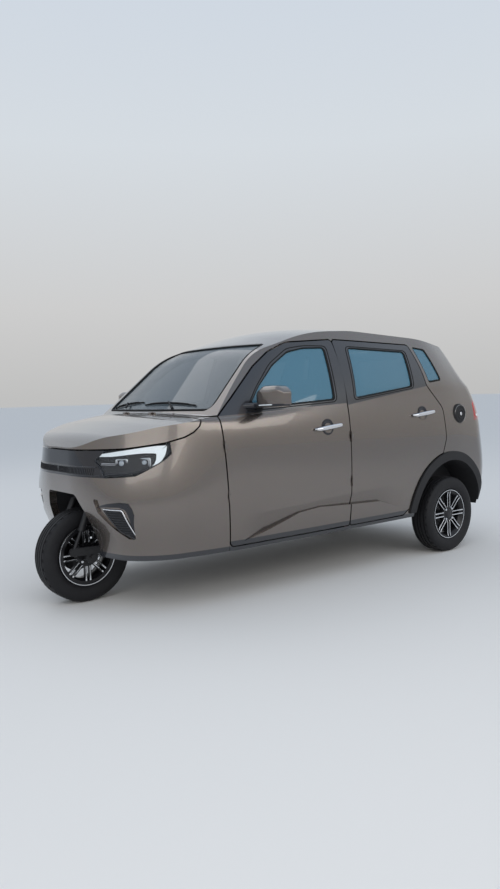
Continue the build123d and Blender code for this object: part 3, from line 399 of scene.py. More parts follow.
def choose(piece, test, kind="FACE"):
    """Selects the faces, edges or vertices whose middle passes the test, and says how many."""
    shape = edit(piece, kind)
    count = 0
    items = {"FACE": shape.faces, "EDGE": shape.edges, "VERT": shape.verts}[kind]
    for item in items:
        if kind == "FACE":
            hit = test(item.calc_center_median(), item.normal)
        elif kind == "EDGE":
            hit = test((item.verts[0].co + item.verts[1].co) / 2)
        else:
            hit = test(item.co)
        if hit:
            item.select_set(True)
            count += 1
    shape.select_flush(True)
    bmesh.update_edit_mesh(piece.data)
    return count


# %% Chains and turned pieces


def chain(name, points, closed=False):
    """A chain of edges through the points, by extruding one vertex from point to point."""
    object_mode()
    bpy.ops.mesh.primitive_plane_add(size=1, location=(0, 0, 0))
    piece = bpy.context.object
    piece.name = name
    whole(piece)
    bpy.ops.mesh.merge(type="CENTER")
    bpy.ops.transform.translate(value=points[0])
    for start, end in zip(points, points[1:]):
        step = [b - a for a, b in zip(start, end)]
        bpy.ops.mesh.extrude_region_move(TRANSFORM_OT_translate={"value": step})
    if closed:
        bpy.ops.mesh.select_all(action="SELECT")
        bpy.ops.mesh.edge_face_add()
        bpy.ops.mesh.delete(type="ONLY_FACE")
    return piece


def lathe(name, points, steps, closed=False):
    """The chain of points (radius, along) turned round the Y axis. The radius lies along +Z."""
    piece = chain(name, [(0, along, radius) for radius, along in points], closed)
    bpy.ops.mesh.select_all(action="SELECT")
    bpy.ops.mesh.spin(steps=steps, angle=math.tau, center=(0, 0, 0), axis=(0, 1, 0))
    bpy.ops.mesh.select_all(action="SELECT")
    bpy.ops.mesh.remove_doubles(threshold=WELD_GAP)
    bpy.ops.mesh.normals_make_consistent(inside=False)
    object_mode()
    return piece


# %% Finished pieces


def settle():
    """Puts the active piece's place, turn and size into its mesh."""
    bpy.ops.object.transform_apply(location=True, rotation=True, scale=True)


def tidy(piece, material=None, angle=35, name=None):
    """Settles the piece, gives it its finish and smooths it up to the angle."""
    pick(piece)
    settle()
    bpy.ops.object.shade_smooth_by_angle(angle=math.radians(angle))
    if material:
        in_finish(piece, material)
    if name:
        piece.name = name
    return piece


def block(location, size):
    """A settled block to shape from."""
    object_mode()
    bpy.ops.mesh.primitive_cube_add(size=1, location=location, scale=size)
    settle()
    return bpy.context.object


def copy_of(piece):
    """A copy with its own mesh, selected and active."""
    pick(piece)
    bpy.ops.object.duplicate()
    return bpy.context.object


def move(x, y, z):
    """Moves what is selected."""
    bpy.ops.transform.translate(value=(x, y, z))


def stretch(value, centre):
    """Scales what is selected about a point."""
    bpy.ops.transform.resize(value=value, center_override=centre)


def into_slot(number):
    """Gives the selected faces the active piece's finish with this number."""
    bpy.context.object.active_material_index = number
    bpy.ops.object.material_slot_assign()


def fix(piece, kind, **settings):
    """Adds a modifier with these settings and applies it."""
    pick(piece)
    modifier = piece.modifiers.new(kind.lower(), kind)
    for key, value in settings.items():
        setattr(modifier, key, value)
    bpy.ops.object.modifier_apply(modifier=modifier.name)
    return piece


def join(name, pieces):
    """Several pieces as one object."""
    object_mode()
    for piece in pieces:
        piece.select_set(True)
    bpy.context.view_layer.objects.active = pieces[0]
    bpy.ops.object.join()
    pieces[0].name = name
    return pieces[0]


# %% Tyre
GROOVE = 0.007
tyre_outline = [
    # radius, place across, for one half from the bead outwards
    (0.153, 0.055), (0.171, 0.0562), (0.176, 0.0640), (0.188, 0.0715), (0.205, 0.0765), (0.222, 0.0772),
    (0.236, 0.0752), (0.2475, 0.0705), (0.2555, 0.0625), (0.2590, 0.0530), (0.2598, 0.0445),
    (0.2598 - GROOVE, 0.0435), (0.2600 - GROOVE, 0.0375), (0.2602, 0.0365), (0.2608, 0.0160),
    (0.2608 - GROOVE, 0.0150), (0.2608 - GROOVE, 0.0085), (0.2609, 0.0075),
]
mirrored_outline = [(radius, -along) for radius, along in reversed(tyre_outline)]
TYRE_STEPS = 96
tyre = lathe("tyre", tyre_outline + mirrored_outline, TYRE_STEPS, closed=True)


def shoulder_cut(middle, normal):
    """Every third face of the outer tread ribs."""
    radius = math.hypot(middle.x, middle.z)
    step = int(math.degrees(math.atan2(middle.z, middle.x)) / (360 / TYRE_STEPS) + TYRE_STEPS)
    return radius > 0.2565 and 0.037 < abs(middle.y) < 0.0605 and step % 3 == 0


print("tread cuts", choose(tyre, shoulder_cut))
bpy.ops.mesh.inset(thickness=0.0016)
bpy.ops.transform.shrink_fatten(value=-0.004)
object_mode()

# %% [markdown]
# Tyre rubber is nearly black and dull, with a faint ribbed band on the side wall. The rib pattern is a
# wave round the axle, so it reads the distance from the axle and the angle from the piece's own
# coordinates, centred on each wheel.

# %% Tyre rubber


def tyre_rubber(name, centre):
    """Dull rubber with fine rings on the side wall, centred on the wheel."""
    material = finish(name, (0.012, 0.012, 0.014), 0.62, variation=0.25, patch=20, grain=700, depth=0.0005, gloss=0.3)
    tree = material.node_tree
    shift = add(tree, "Mapping", {"Location": (-centre[0], 0, -centre[2]), "Scale": (1, 0, 1)})
    link(tree, object_place(tree), shift.inputs["Vector"])
    rings = add(tree, "TexWave", {"Scale": 60}, wave_type="RINGS", rings_direction="Y")
    link(tree, shift.outputs["Vector"], rings.inputs["Vector"])
    grain = [node for node in tree.nodes if node.type == "BUMP"][0]
    ribs = add(tree, "Bump", {"Strength": 0.25, "Distance": 0.0006})
    link(tree, rings.outputs["Fac"], ribs.inputs["Height"])
    link(tree, grain.outputs["Normal"], ribs.inputs["Normal"])
    link(tree, ribs.outputs["Normal"], tree.nodes["Principled BSDF"].inputs["Normal"])
    return material


# %% [markdown]
# ## Wheels
#
# Each wheel is a turned barrel with eight pairs of narrow spokes, black all over but for the spokes'
# machined faces and the ring round the rim. One pair is shaped from a block, tapered and bevelled,
# then copied round the hub.

# %% Rim
machined = finish("machined_alloy", (0.72, 0.73, 0.75), 0.22, metallic=1.0, variation=0.06, patch=15, grain=900,
                  depth=0.0001)
barrel = lathe("barrel", [
    (0.150, -0.064), (0.170, -0.064), (0.170, -0.058), (0.152, -0.055), (0.140, -0.020), (0.139, 0.030),
    (0.150, 0.052), (0.1535, 0.057), (0.170, 0.058), (0.1705, 0.0635), (0.1685, 0.0655), (0.1645, 0.0652),
    (0.159, 0.060), (0.151, 0.055), (0.143, 0.048), (0.1335, 0.030), (0.134, -0.020), (0.146, -0.060),
], 96, closed=True)
in_finish(barrel, alloy_black, machined)
choose(barrel, lambda middle, normal: normal.y > 0.2 and middle.y > 0.064 and math.hypot(middle.x, middle.z) < 0.169)
into_slot(1)
tidy(barrel)


def spoke(offset):
    """One narrow spoke from the hub to the barrel, its face machined, its sides black."""
    bar = block((offset, 0.045, 0.097), (0.0078, 0.024, 0.120))
    in_finish(bar, alloy_black, machined)
    whole(bar)
    bpy.ops.mesh.subdivide(number_cuts=4)
    choose(bar, lambda place: place.z > 0.12, "VERT")
    stretch((1.25, 1, 1), (offset, 0.045, 0.14))
    choose(bar, lambda place: place.z < 0.06, "VERT")
    move(0, -0.008, 0)
    choose(bar, lambda place: place.z > 0.145, "VERT")
    move(0, 0.005, 0)
    choose(bar, lambda middle, normal: normal.y > 0.8)
    bpy.ops.mesh.inset(thickness=0.0010)
    move(0, 0.001, 0)
    into_slot(1)
    object_mode()
    return fix(bar, "BEVEL", width=0.0006, segments=1, limit_method="ANGLE")


SPOKE_PAIRS = 8
pair = join("spoke_pair", [spoke(side * 0.0125) for side in (-1, 1)])
pairs = [pair]
for number in range(1, SPOKE_PAIRS):
    copy = copy_of(pair)
    copy.rotation_euler = (0, math.tau * number / SPOKE_PAIRS, 0)
    settle()
    pairs.append(copy)

# %% Hub, cap and bolts
hub = lathe("hub", [
    (0.0, 0.020), (0.062, 0.020), (0.064, 0.040), (0.060, 0.050), (0.045, 0.0535), (0.033, 0.0535),
    (0.0315, 0.0560), (0.029, 0.0575), (0.012, 0.0585), (0.0, 0.0585),
], 48)
in_finish(hub, alloy_black)
BOLT_COUNT, BOLT_CIRCLE = 4, 0.046
bolts = []
for number in range(BOLT_COUNT):
    angle = math.radians(45 + 90 * number)
    object_mode()
    bpy.ops.mesh.primitive_cylinder_add(
        vertices=6, radius=0.0085, depth=0.012, rotation=(math.radians(90), 0, 0),
        location=(BOLT_CIRCLE * math.cos(angle), 0.0555, BOLT_CIRCLE * math.sin(angle)),
    )
    bolt = bpy.context.object
    settle()
    choose(bolt, lambda middle, normal: normal.y > 0.8)
    bpy.ops.mesh.inset(thickness=0.002)
    move(0, 0.002, 0)
    object_mode()
    in_finish(bolt, machined)
    bolts.append(bolt)
wheel_face = tidy(join("wheel_face", [barrel, hub] + pairs + bolts))
print("spokes", 2 * SPOKE_PAIRS, "bolts", len(bolts))

# %% [markdown]
# The finished wheel is copied to each axle. The right rear wheel is turned half round, so that its face
# looks outwards too.

# %% Place the wheels
WHEELS = [
    # name, body, axle's middle, turned round
    ("front", "front_wheel", (1.379, 0, 0.261), False),
    ("rear_left", "rear_wheel_left", (-1.058, 0.632, 0.261), False),
    ("rear_right", "rear_wheel_right", (-1.058, -0.632, 0.261), True),
]
for name, body, centre, turned in WHEELS:
    for source, finished in ((wheel_face, "rim_"), (tyre, "tyre_")):
        copy = copy_of(source)
        copy.rotation_euler = (0, 0, math.pi if turned else 0)
        copy.location = centre
        tidy(copy, name="dressed_" + finished + name)
        if source is tyre:
            in_finish(copy, tyre_rubber("tyre_rubber_" + name, centre))
            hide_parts("tyre_" + name)
        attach(copy, body)
        if source is wheel_face and name != "front":
            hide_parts("rim_" + name)
for source in (wheel_face, tyre):
    bpy.data.objects.remove(source)

# %% [markdown]
# ## Lines that follow the body
#
# Seals, lamp strips, bright strips and wires all lie on the body's skin. Their path is an outline seen
# from the side or from the front, with its corners rounded, and each of its points is thrown onto a
# CAD node by a ray. A curve through the points gets a round or flat section and becomes a mesh.

# %% Outlines


def rounded(points, radius, closed=True, spacing=0.03):
    """The outline with its corners rounded and its long runs divided."""
    path = []
    last = len(points) - 1
    for i, point in enumerate(points):
        here = Vector(point)
        if not closed and i in (0, last):
            path.append(here)
            continue
        back = here + (Vector(points[i - 1]) - here).normalized() * radius
        ahead = here + (Vector(points[(i + 1) % len(points)]) - here).normalized() * radius
        for k in range(6):
            t = k / 5
            path.append((1 - t) ** 2 * back + 2 * t * (1 - t) * here + t * t * ahead)
    dense = []
    ends = path[1:] + (path[:1] if closed else [])
    for start, end in zip(path, ends):
        count = max(1, round((end - start).length / spacing))
        dense += [start.lerp(end, k / count) for k in range(count)]
    if not closed:
        dense.append(path[-1])
    return dense


# %% Rays onto the skin
RAYS = {
    # view: where the rays start, their direction
    "left": ((0, 3, 0), (0, -1, 0)), "right": ((0, -3, 0), (0, 1, 0)), "top": ((0, 0, 3), (0, 0, -1)),
    "front": ((3, 0, 0), (-1, 0, 0)), "back": ((-3, 0, 0), (1, 0, 0)),
    "left_corner": ((3, 3, 0), (-1, -1, 0)), "right_corner": ((3, -3, 0), (-1, 1, 0)),
    "left_rear": ((-3, 3, 0), (1, -1, 0)), "right_rear": ((-3, -3, 0), (1, 1, 0)),
    "inner_left": ((0, 0, 0), (0, 1, 0)), "inner_right": ((0, 0, 0), (0, -1, 0)),
}
SIDES = (("left", 1), ("right", -1))


def thrown(node, path, view, lift=0.0):
    """The path's points thrown onto a node, from the side or from inside the cabin (x, z), the front or
    back (y, z), from above (x, y), or at half a right angle from a corner: its first number runs outwards."""
    target = bpy.data.objects[node]
    start, direction = (Vector(v) for v in RAYS[view])
    found = []
    for a, b in path:
        if view in ("left", "right", "inner_left", "inner_right"):
            origin = start + Vector((a, 0, b))
        elif view == "top":
            origin = start + Vector((a, b, 0))
        elif "corner" in view or "rear" in view:
            shift = a * math.sqrt(0.5)
            origin = start + Vector((-math.copysign(1, start.x) * shift, math.copysign(1, start.y) * shift, b))
        else:
            origin = start + Vector((0, a, b))
        hit, place, normal, _ = target.ray_cast(origin, direction.normalized())
        if hit:
            found.append(place + normal * lift)
    return found


# %% Bars


def strip(name, points, width, closed=False, material=None, end=1.0):
    """A round bar along the points, as a mesh. Its ends are as thick as told, as a share of its width."""
    object_mode()
    curve = bpy.data.curves.new(name, "CURVE")
    curve.dimensions = "3D"
    spline = curve.splines.new("POLY")
    spline.points.add(len(points) - 1)
    for number, (target, point) in enumerate(zip(spline.points, points)):
        target.co = (*point, 1)
        target.radius = end + (1 - end) * math.sin(math.pi * number / (len(points) - 1))
    spline.use_cyclic_u = closed
    curve.bevel_depth = width / 2
    curve.bevel_resolution = 3
    curve.use_fill_caps = not closed
    piece = bpy.data.objects.new(name, curve)
    bpy.context.collection.objects.link(piece)
    pick(piece)
    bpy.ops.object.convert(target="MESH")
    piece = bpy.context.object
    return tidy(piece, material, angle=60)


def bar_on(name, node, view, path, width, lift=0.0, **more):
    """A round bar along a path that is thrown onto a node."""
    return strip(name, thrown(node, path, view, lift), width, **more)


def open_path(points, radius=0.01, **more):
    """A line with ends, its corners rounded and its long runs divided."""
    return rounded(points, radius, closed=False, **more)


def flipped(line, sign):
    """A line seen from the front, on the car's left for 1 and on its right for -1."""
    return [(sign * y, z) for y, z in line]


# %% Sheets
SHEET_COLUMNS = 28


def point_at(line, share):
    """The point at a share of the way along a line of points."""
    reach = share * (len(line) - 1)
    number = min(int(reach), len(line) - 2)
    return Vector(line[number]).lerp(Vector(line[number + 1]), reach - number)


def laid(name, node, view, first, second, lift, thickness, material, rows=5):
    """A sheet between two outlines, laid on a node's skin by rays and made solid."""
    object_mode()
    bpy.ops.mesh.primitive_grid_add(x_subdivisions=SHEET_COLUMNS, y_subdivisions=rows)
    piece = bpy.context.object
    piece.name = name
    aims = []
    for vertex in piece.data.vertices:
        share, across = (vertex.co.x + 1) / 2, (vertex.co.y + 1) / 2
        aims.append(point_at(first, share).lerp(point_at(second, share), across))
    spots = [thrown(node, [tuple(aim)], view, lift) for aim in aims]
    known = [number for number, spot in enumerate(spots) if spot]
    for vertex, aim in zip(piece.data.vertices, aims):
        nearest = min(known, key=lambda number: (aims[number] - aim).length)
        vertex.co = spots[nearest][0]
    fix(piece, "SOLIDIFY", thickness=thickness, offset=0)
    whole(piece)
    bpy.ops.mesh.normals_make_consistent(inside=False)
    object_mode()
    return tidy(piece, material)


def seat_on(piece, body):
    """Says which body carries the piece."""
    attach(piece, body)
    return piece


# %% [markdown]
# ## Window seals
#
# A black rubber lip runs round each pane, half on the glass and half on the frame. The side outlines are
# those that the panes were cut to.

# %% Seals
FRONT_WINDOW = [(0.686, 1.046), (0.035, 1.082), (0.003, 1.406), (0.170, 1.402), (0.300, 1.378), (0.440, 1.296),
                (0.580, 1.170)]
REAR_WINDOW = [(-0.138, 1.086), (-0.692, 1.150), (-0.720, 1.388), (-0.184, 1.406)]
QUARTER_WINDOW = [(-0.872, 1.176), (-1.016, 1.191), (-0.949, 1.410), (-0.822, 1.424)]
SIDE_PANES = [
    # node, outline, corner, body at the left, body at the right
    ("glass_front", FRONT_WINDOW, 0.025, "front_left_door", "front_right_door"),
    ("glass_rear", REAR_WINDOW, 0.025, "rear_left_door", "rear_right_door"),
    ("quarter_glass", QUARTER_WINDOW, 0.018, "body", "body"),
]


def inwards(outline, by):
    """The outline's points moved towards its middle."""
    middle = Vector((sum(p[0] for p in outline) / len(outline), sum(p[1] for p in outline) / len(outline)))
    return [tuple(Vector(p) + (middle - Vector(p)).normalized() * by) for p in outline]


for name, outline, corner, left_body, right_body in SIDE_PANES:
    for side, body in (("left", left_body), ("right", right_body)):
        node = name if name == "quarter_glass" else name + "_" + side
        lip = rounded(inwards(outline, 0.006), corner)
        lips = [bar_on("seal_" + name + "_" + side, node, side, lip, 0.013, 0.001, closed=True, material=rubber)]
        frame_node = {"glass_front": "door_front_", "glass_rear": "door_rear_"}.get(name)
        if frame_node:
            bead = rounded(inwards(outline, -0.016), corner + 0.008)
            lips.append(bar_on("outer_bead", frame_node + side, side, bead, 0.006, closed=True, material=rubber))
        seat_on(join("seal_" + name + "_" + side, lips), body)
WINDSHIELD = [(-0.575, 1.046), (0.575, 1.046), (0.470, 1.425), (-0.470, 1.425)]
TAIL_GLASS = [(-0.470, 1.150), (0.470, 1.150), (0.385, 1.385), (-0.385, 1.385)]
for node, outline, view, body in (
    ("windshield", WINDSHIELD, "front", "body"), ("tailgate_glass", TAIL_GLASS, "back", "tailgate_lid"),
):
    lip = rounded(inwards(outline, 0.012), 0.04)
    seat_on(bar_on("seal_" + node, node, view, lip, 0.015, 0.001, closed=True, material=rubber), body)
print("seals", 2 * len(SIDE_PANES) + 2)

# %% [markdown]
# ## Headlamps
#
# Each lamp is a clear lens over a black bowl. The bowl is a merged copy of the lens solid, shrunk by a
# finger's width. In it stand two round projectors, and a white light strip follows the lens's top edge.

# %% Lamp bowls
lamp_white = finish("lamp_white", (0.66, 0.72, 0.75), 0.3, coat=1.0, variation=0.12, patch=90, depth=0)
glow = lamp_white.node_tree.nodes["Principled BSDF"].inputs
glow["Emission Color"].default_value = (0.9, 0.95, 1, 1)
glow["Emission Strength"].default_value = 0.12
reflector_metal = finish("reflector_metal", (0.70, 0.73, 0.75), 0.30, metallic=0.55, coat=0.5, variation=0.12,
                         patch=60, depth=0)
lens_glow = finish("projector_glass", (0.30, 0.34, 0.38), 0.06, coat=1.0, variation=0.1, patch=90, depth=0)
BOWL_DEPTH = 0.012

bowls = copy_of(bpy.data.objects["headlamps"])
bowls.name = "lamp_bowls"
for modifier in list(bowls.modifiers):
    bowls.modifiers.remove(modifier)
bowls.parent = None
whole(bowls)
bpy.ops.mesh.remove_doubles(threshold=WELD_GAP)
whole(bowls)
bpy.ops.transform.shrink_fatten(value=-BOWL_DEPTH)
object_mode()
seat_on(tidy(bowls, trim_black), "body")

# %% Lamp bands and trims
BAND_TOP = [(-0.770, 0.841), (-0.730, 0.847), (-0.687, 0.853), (-0.645, 0.859), (-0.604, 0.864), (-0.565, 0.869),
            (-0.526, 0.874), (-0.488, 0.878), (-0.451, 0.881), (-0.408, 0.882)]
BAND_LOW = [(-0.773, 0.830), (-0.732, 0.830), (-0.692, 0.831), (-0.655, 0.834), (-0.618, 0.838), (-0.580, 0.842),
            (-0.545, 0.845), (-0.510, 0.846), (-0.475, 0.845), (-0.452, 0.842)]
END_OUTER = [(-0.404, 0.880), (-0.406, 0.858), (-0.412, 0.834), (-0.428, 0.806), (-0.455, 0.783), (-0.487, 0.768)]
END_INNER = [(-0.456, 0.844), (-0.455, 0.828), (-0.456, 0.812), (-0.464, 0.792), (-0.478, 0.776), (-0.495, 0.766)]
LAMP_LOW = [(-0.785, 0.790), (-0.755, 0.745), (-0.680, 0.740), (-0.560, 0.748), (-0.480, 0.763), (-0.415, 0.812)]
LAMP_TIP = [(-0.790, 0.792), (-0.772, 0.836)]
BLADE_WIDTH = 0.003
BLADE_HEIGHTS = [0.797, 0.790]
for side, sign in SIDES:
    view = side + "_corner"
    pieces = []
    for outer, inner in ((BAND_TOP, BAND_LOW), (END_OUTER, END_INNER)):
        pieces.append(laid("light_band", "headlamps", view, outer, inner, -0.005, 0.003, lamp_white))
    seat_on(tidy(join("day_light_" + side, pieces)), "body")
    low = open_path(LAMP_LOW, 0.012)
    lip = bar_on("lamp_lip_" + side, "headlamps", view, low, 0.006, -0.001, material=gloss_black)
    seat_on(lip, "body")
    trims = [bar_on("lamp_tip", "headlamps", view, LAMP_TIP, 0.003, -0.003, material=bright)]
    for height in BLADE_HEIGHTS:
        blade = [(-0.752, height), (-0.710, height), (-0.668, height)]
        trims.append(bar_on("lamp_blade", "headlamps", view, blade, BLADE_WIDTH, -0.008, material=bright))
    seat_on(join("lamp_trims_" + side, trims), "body")

# %% Projectors
PROJECTORS = [
    # seen from the front corner: along, height, lens radius, half width and half height of its reflector
    (-0.636, 0.796, 0.016, 0.034, 0.0245), (-0.518, 0.799, 0.014, 0.036, 0.025),
]
for side, sign in SIDES:
    for number, (along, z, radius, half_width, half_height) in enumerate(PROJECTORS):
        mouth = thrown("headlamps", [(along, z)], side + "_corner", lift=-0.010)[0]
        eye = lathe("projector_eye", [
            (0, 0.004), (radius * 0.45, 0.0025), (radius * 0.80, -0.001), (radius, -0.006), (radius * 1.12, -0.004),
            (radius * 1.18, -0.010), (0, -0.012),
        ], 40)
        in_finish(eye, lens_glow)
        reflector = block((0, -0.010, 0), (2 * half_width, 0.016, 2 * half_height))
        fix(reflector, "BEVEL", width=0.007, segments=3, limit_method="ANGLE")
        choose(reflector, lambda middle, normal: normal.y > 0.95)
        for width, depth in ((0.003, 0.005), (0.004, 0.003)):
            bpy.ops.mesh.inset(thickness=width)
            move(0, -depth, 0)
        object_mode()
        in_finish(reflector, reflector_metal)
        ribs = []
        for place in (-0.7, 0.7):
            ends = [Vector((place * half_width, -0.006, share * half_height)) for share in (-0.75, 0.75)]
            ribs.append(strip("reflector_rib", ends, 0.005, material=bright))
        lamp = join("projector_" + side + "_" + str(number), [eye, reflector] + ribs)
        lamp.rotation_euler = (0, 0, math.radians(-50 if sign > 0 else 230))
        lamp.location = mouth
        seat_on(tidy(lamp), "body")
print("projectors", 2 * len(PROJECTORS))

# %% [markdown]
# ## Nose band and bumper vents
#
# The nose band is glossy, with fine leaning slats along its lower half. Each bumper vent is a recess with a black
# panel and louvres, and a bright strip along its top and outer edge. A gloss black sheet along its upper and outer
# wall is painted shade, where the recess's edge would shade the body colour.

# %% Nose slats
slats = []
for number in range(-24, 25):
    low_y = 0.0138 * number
    high_y = low_y + math.copysign(0.007, number)
    lean = [(low_y, 0.737), (low_y * 0.5 + high_y * 0.5, 0.753), (high_y, 0.769)]
    slats.append(bar_on("nose_slat", "grille", "front", lean, 0.0045, 0.0005, material=trim_black))
for height, reach, width in ((0.7755, 0.352, 0.007), (0.7325, 0.385, 0.005)):
    rib = open_path([(-reach, height), (reach, height)])
    slats.append(bar_on("nose_rib", "grille", "front", rib, width, material=gloss_black))
print("nose slats", len(slats))
seat_on(join("nose_slats", slats), "body")

# %% Vent louvres and bright strips
VENT_INNER = [(0.390, 0.562), (0.424, 0.518), (0.458, 0.470), (0.496, 0.418)]
VENT_OUTER = [(0.501, 0.562), (0.511, 0.518), (0.521, 0.470), (0.530, 0.418)]
VENT_FRAME = [(0.388, 0.560), (0.500, 0.560), (0.532, 0.408), (0.484, 0.416)]
VENT_BRIGHT = [(0.392, 0.562), (0.502, 0.561), (0.518, 0.500), (0.536, 0.404)]
# The two brow lines bound a painted shade: a gloss black sheet on the recess's upper and outer wall.
VENT_PAINTED_SHADE_TOP = [(0.350, 0.573), (0.415, 0.590), (0.489, 0.600), (0.528, 0.596), (0.542, 0.566), (0.549, 0.520),
             (0.541, 0.461)]
VENT_PAINTED_SHADE_FOOT = [(0.352, 0.567), (0.420, 0.573), (0.485, 0.575), (0.512, 0.564), (0.520, 0.548), (0.526, 0.513),
                 (0.524, 0.458)]
VENT_ROWS = [
    # height, inner y, outer y
    (0.552, 0.398, 0.498), (0.539, 0.406, 0.501), (0.526, 0.415, 0.504), (0.513, 0.423, 0.507),
    (0.500, 0.432, 0.509), (0.487, 0.441, 0.512), (0.474, 0.449, 0.515), (0.461, 0.458, 0.518),
    (0.448, 0.466, 0.521), (0.435, 0.479, 0.524), (0.422, 0.494, 0.527),
]
VENT = ("bumper_vents", "front")
for side, sign in SIDES:
    inner_line, outer_line = flipped(VENT_INNER, sign), flipped(VENT_OUTER, sign)
    sheet = laid("vent_backing_" + side, *VENT, inner_line, outer_line, 0.0015, 0.002, trim_black)
    seat_on(sheet, "body")
    louvres = []
    for height, inner, outer in VENT_ROWS:
        row = open_path([(sign * inner, height), (sign * outer, height)])
        louvres.append(bar_on("louvre", *VENT, row, 0.0055, 0.0035, material=gloss_black))
    seat_on(join("vent_louvres_" + side, louvres), "body")
    edge = rounded(flipped(VENT_FRAME, sign), 0.012, spacing=0.02)
    rim = bar_on("vent_frame_" + side, *VENT, edge, 0.010, 0.002, closed=True, material=gloss_black)
    seat_on(rim, "body")
    # The brow sheet is painted shade: gloss black where the recess's edge shades the body colour.
    high, low = flipped(VENT_PAINTED_SHADE_TOP, sign), flipped(VENT_PAINTED_SHADE_FOOT, sign)
    seat_on(laid("vent_brow_" + side, *VENT, high, low, 0.0015, 0.002, gloss_black), "body")
    edge = open_path(flipped(VENT_BRIGHT, sign), 0.012, spacing=0.02)
    seat_on(bar_on("vent_bright_" + side, *VENT, edge, 0.0075, 0.006, material=bright), "body")

# %% [markdown]
# ## Door mirrors
#
# A mirror is a rounded cap in the body colour on a black foot, with a glass in its rear face. The cap
# starts as a block: its outer end is drawn in, its front is pushed out, and subdivision rounds it.

# %% Mirrors
mirror_face = finish("mirror_face", (0.55, 0.58, 0.6), 0.04, metallic=1.0, variation=0.03, depth=0)
CAP_OUTER = ((0.888, 0.66, 0.72), (0.850, 0.86, 0.90))
CAP_INNER = ((0.675, 0.70, 0.62), (0.712, 0.86, 0.86))
CAP_FRONT = ((0.660, 0.88, 0.76), (0.640, 0.96, 0.92))
for side, sign in SIDES:
    cap = block((0.613, sign * 0.782, 1.118), (0.104, 0.219, 0.112))
    whole(cap)
    bpy.ops.mesh.subdivide(number_cuts=6)
    for reach, length, height in CAP_OUTER:
        choose(cap, lambda place: sign * place.y > reach, "VERT")
        stretch((length, 1, height), (0.588, sign * 0.887, 1.075))
    for reach, length, height in CAP_INNER:
        choose(cap, lambda place: sign * place.y < reach, "VERT")
        stretch((length, 1, height), (0.600, sign * 0.680, 1.070))
    for front, width, height in CAP_FRONT:
        choose(cap, lambda place: place.x > front, "VERT")
        stretch((1, width, height), (0.648, sign * 0.782, 1.075))
    in_finish(cap, panel_paint, gloss_black, mirror_face)
    choose(cap, lambda middle, normal: normal.x < -0.9)
    bpy.ops.mesh.inset(thickness=0.008)
    into_slot(1)
    bpy.ops.mesh.inset(thickness=0.004)
    move(0.006, 0, 0)
    into_slot(2)
    fix(cap, "SUBSURF", levels=2, render_levels=2)
    base = block((0.616, sign * 0.778, 1.068), (0.104, 0.226, 0.022))
    in_finish(base, gloss_black)
    whole(base)
    bpy.ops.mesh.subdivide(number_cuts=3)
    choose(base, lambda place: sign * place.y > 0.88, "VERT")
    stretch((0.70, 1, 0.6), (0.588, sign * 0.890, 1.074))
    choose(base, lambda place: place.x > 0.66, "VERT")
    stretch((1, 0.90, 0.7), (0.660, sign * 0.770, 1.070))
    fix(base, "SUBSURF", levels=2, render_levels=2)
    bend = [(0.700, 0.634, 1.064), (0.684, 0.650, 1.066), (0.655, 0.672, 1.068), (0.632, 0.705, 1.070)]
    foot = strip("mirror_foot", [Vector((x, sign * y, z)) for x, y, z in bend], 0.032, material=gloss_black)
    edge = [(0.669, sign * 0.735, 1.069), (0.668, sign * 0.820, 1.071), (0.640, sign * 0.872, 1.073)]
    repeater = strip("mirror_repeater", open_path(edge, 0.02), 0.006, material=lamp_white)
    mirror = join("door_mirror_" + side, [tidy(cap), tidy(base), foot, repeater])
    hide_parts("mirror_" + side)
    seat_on(mirror, "front_" + side + "_door")
    print(mirror.name, [round(v, 3) for v in mirror.dimensions])

# %% [markdown]
# ## Handles, fuel cap and wipers
#
# A handle is a flattened bright bow on two feet, over a round black cup in the door's skin. The fuel cap
# is turned, with round ridges and a lock. A wiper is a thin blade on the glass and an arm from its pivot.

# %% Handles
HANDLES = [
    # door, rear foot x, z and front foot x, z
    ("front", (0.022, 0.935), (0.232, 0.917)),
    ("rear", (-0.864, 0.983), (-0.654, 0.965)),
]
GRIP_OUT, GRIP_FLAT = 0.7385, 0.62
for door, rear, front in HANDLES:
    for side, sign in SIDES:
        body = door + "_" + side + "_door"
        path = [(rear[0], sign * 0.700, rear[1]), (rear[0] + 0.012, sign * 0.731, rear[1]),
                (front[0] - 0.012, sign * 0.731, front[1]), (front[0], sign * 0.700, front[1])]
        bow = strip("bow", open_path(path, 0.014, spacing=0.012), 0.0255, material=bright, end=0.52)
        pick(bow)
        stretch((1, GRIP_FLAT, 1), (0, sign * GRIP_OUT, 0))
        tidy(bow, angle=60, name="grip_" + door + "_" + side)
        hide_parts("handle_" + door + "_" + side)
        seat_on(bow, body)
        middle = ((rear[0] + front[0]) / 2, (rear[1] + front[1]) / 2)
        cup = lathe("cup", [(0, -0.0035), (0.020, -0.002), (0.036, 0.0012), (0.0425, 0.0028), (0.0475, 0.0020),
                            (0.0490, -0.006), (0, -0.008)], 48)
        cup.rotation_euler = (math.radians(3) * sign, 0, 0 if sign > 0 else math.pi)
        cup.location = thrown("door_" + door + "_" + side, [middle], side)[0]
        seat_on(tidy(cup, gloss_black, name="handle_cup_" + door + "_" + side), body)

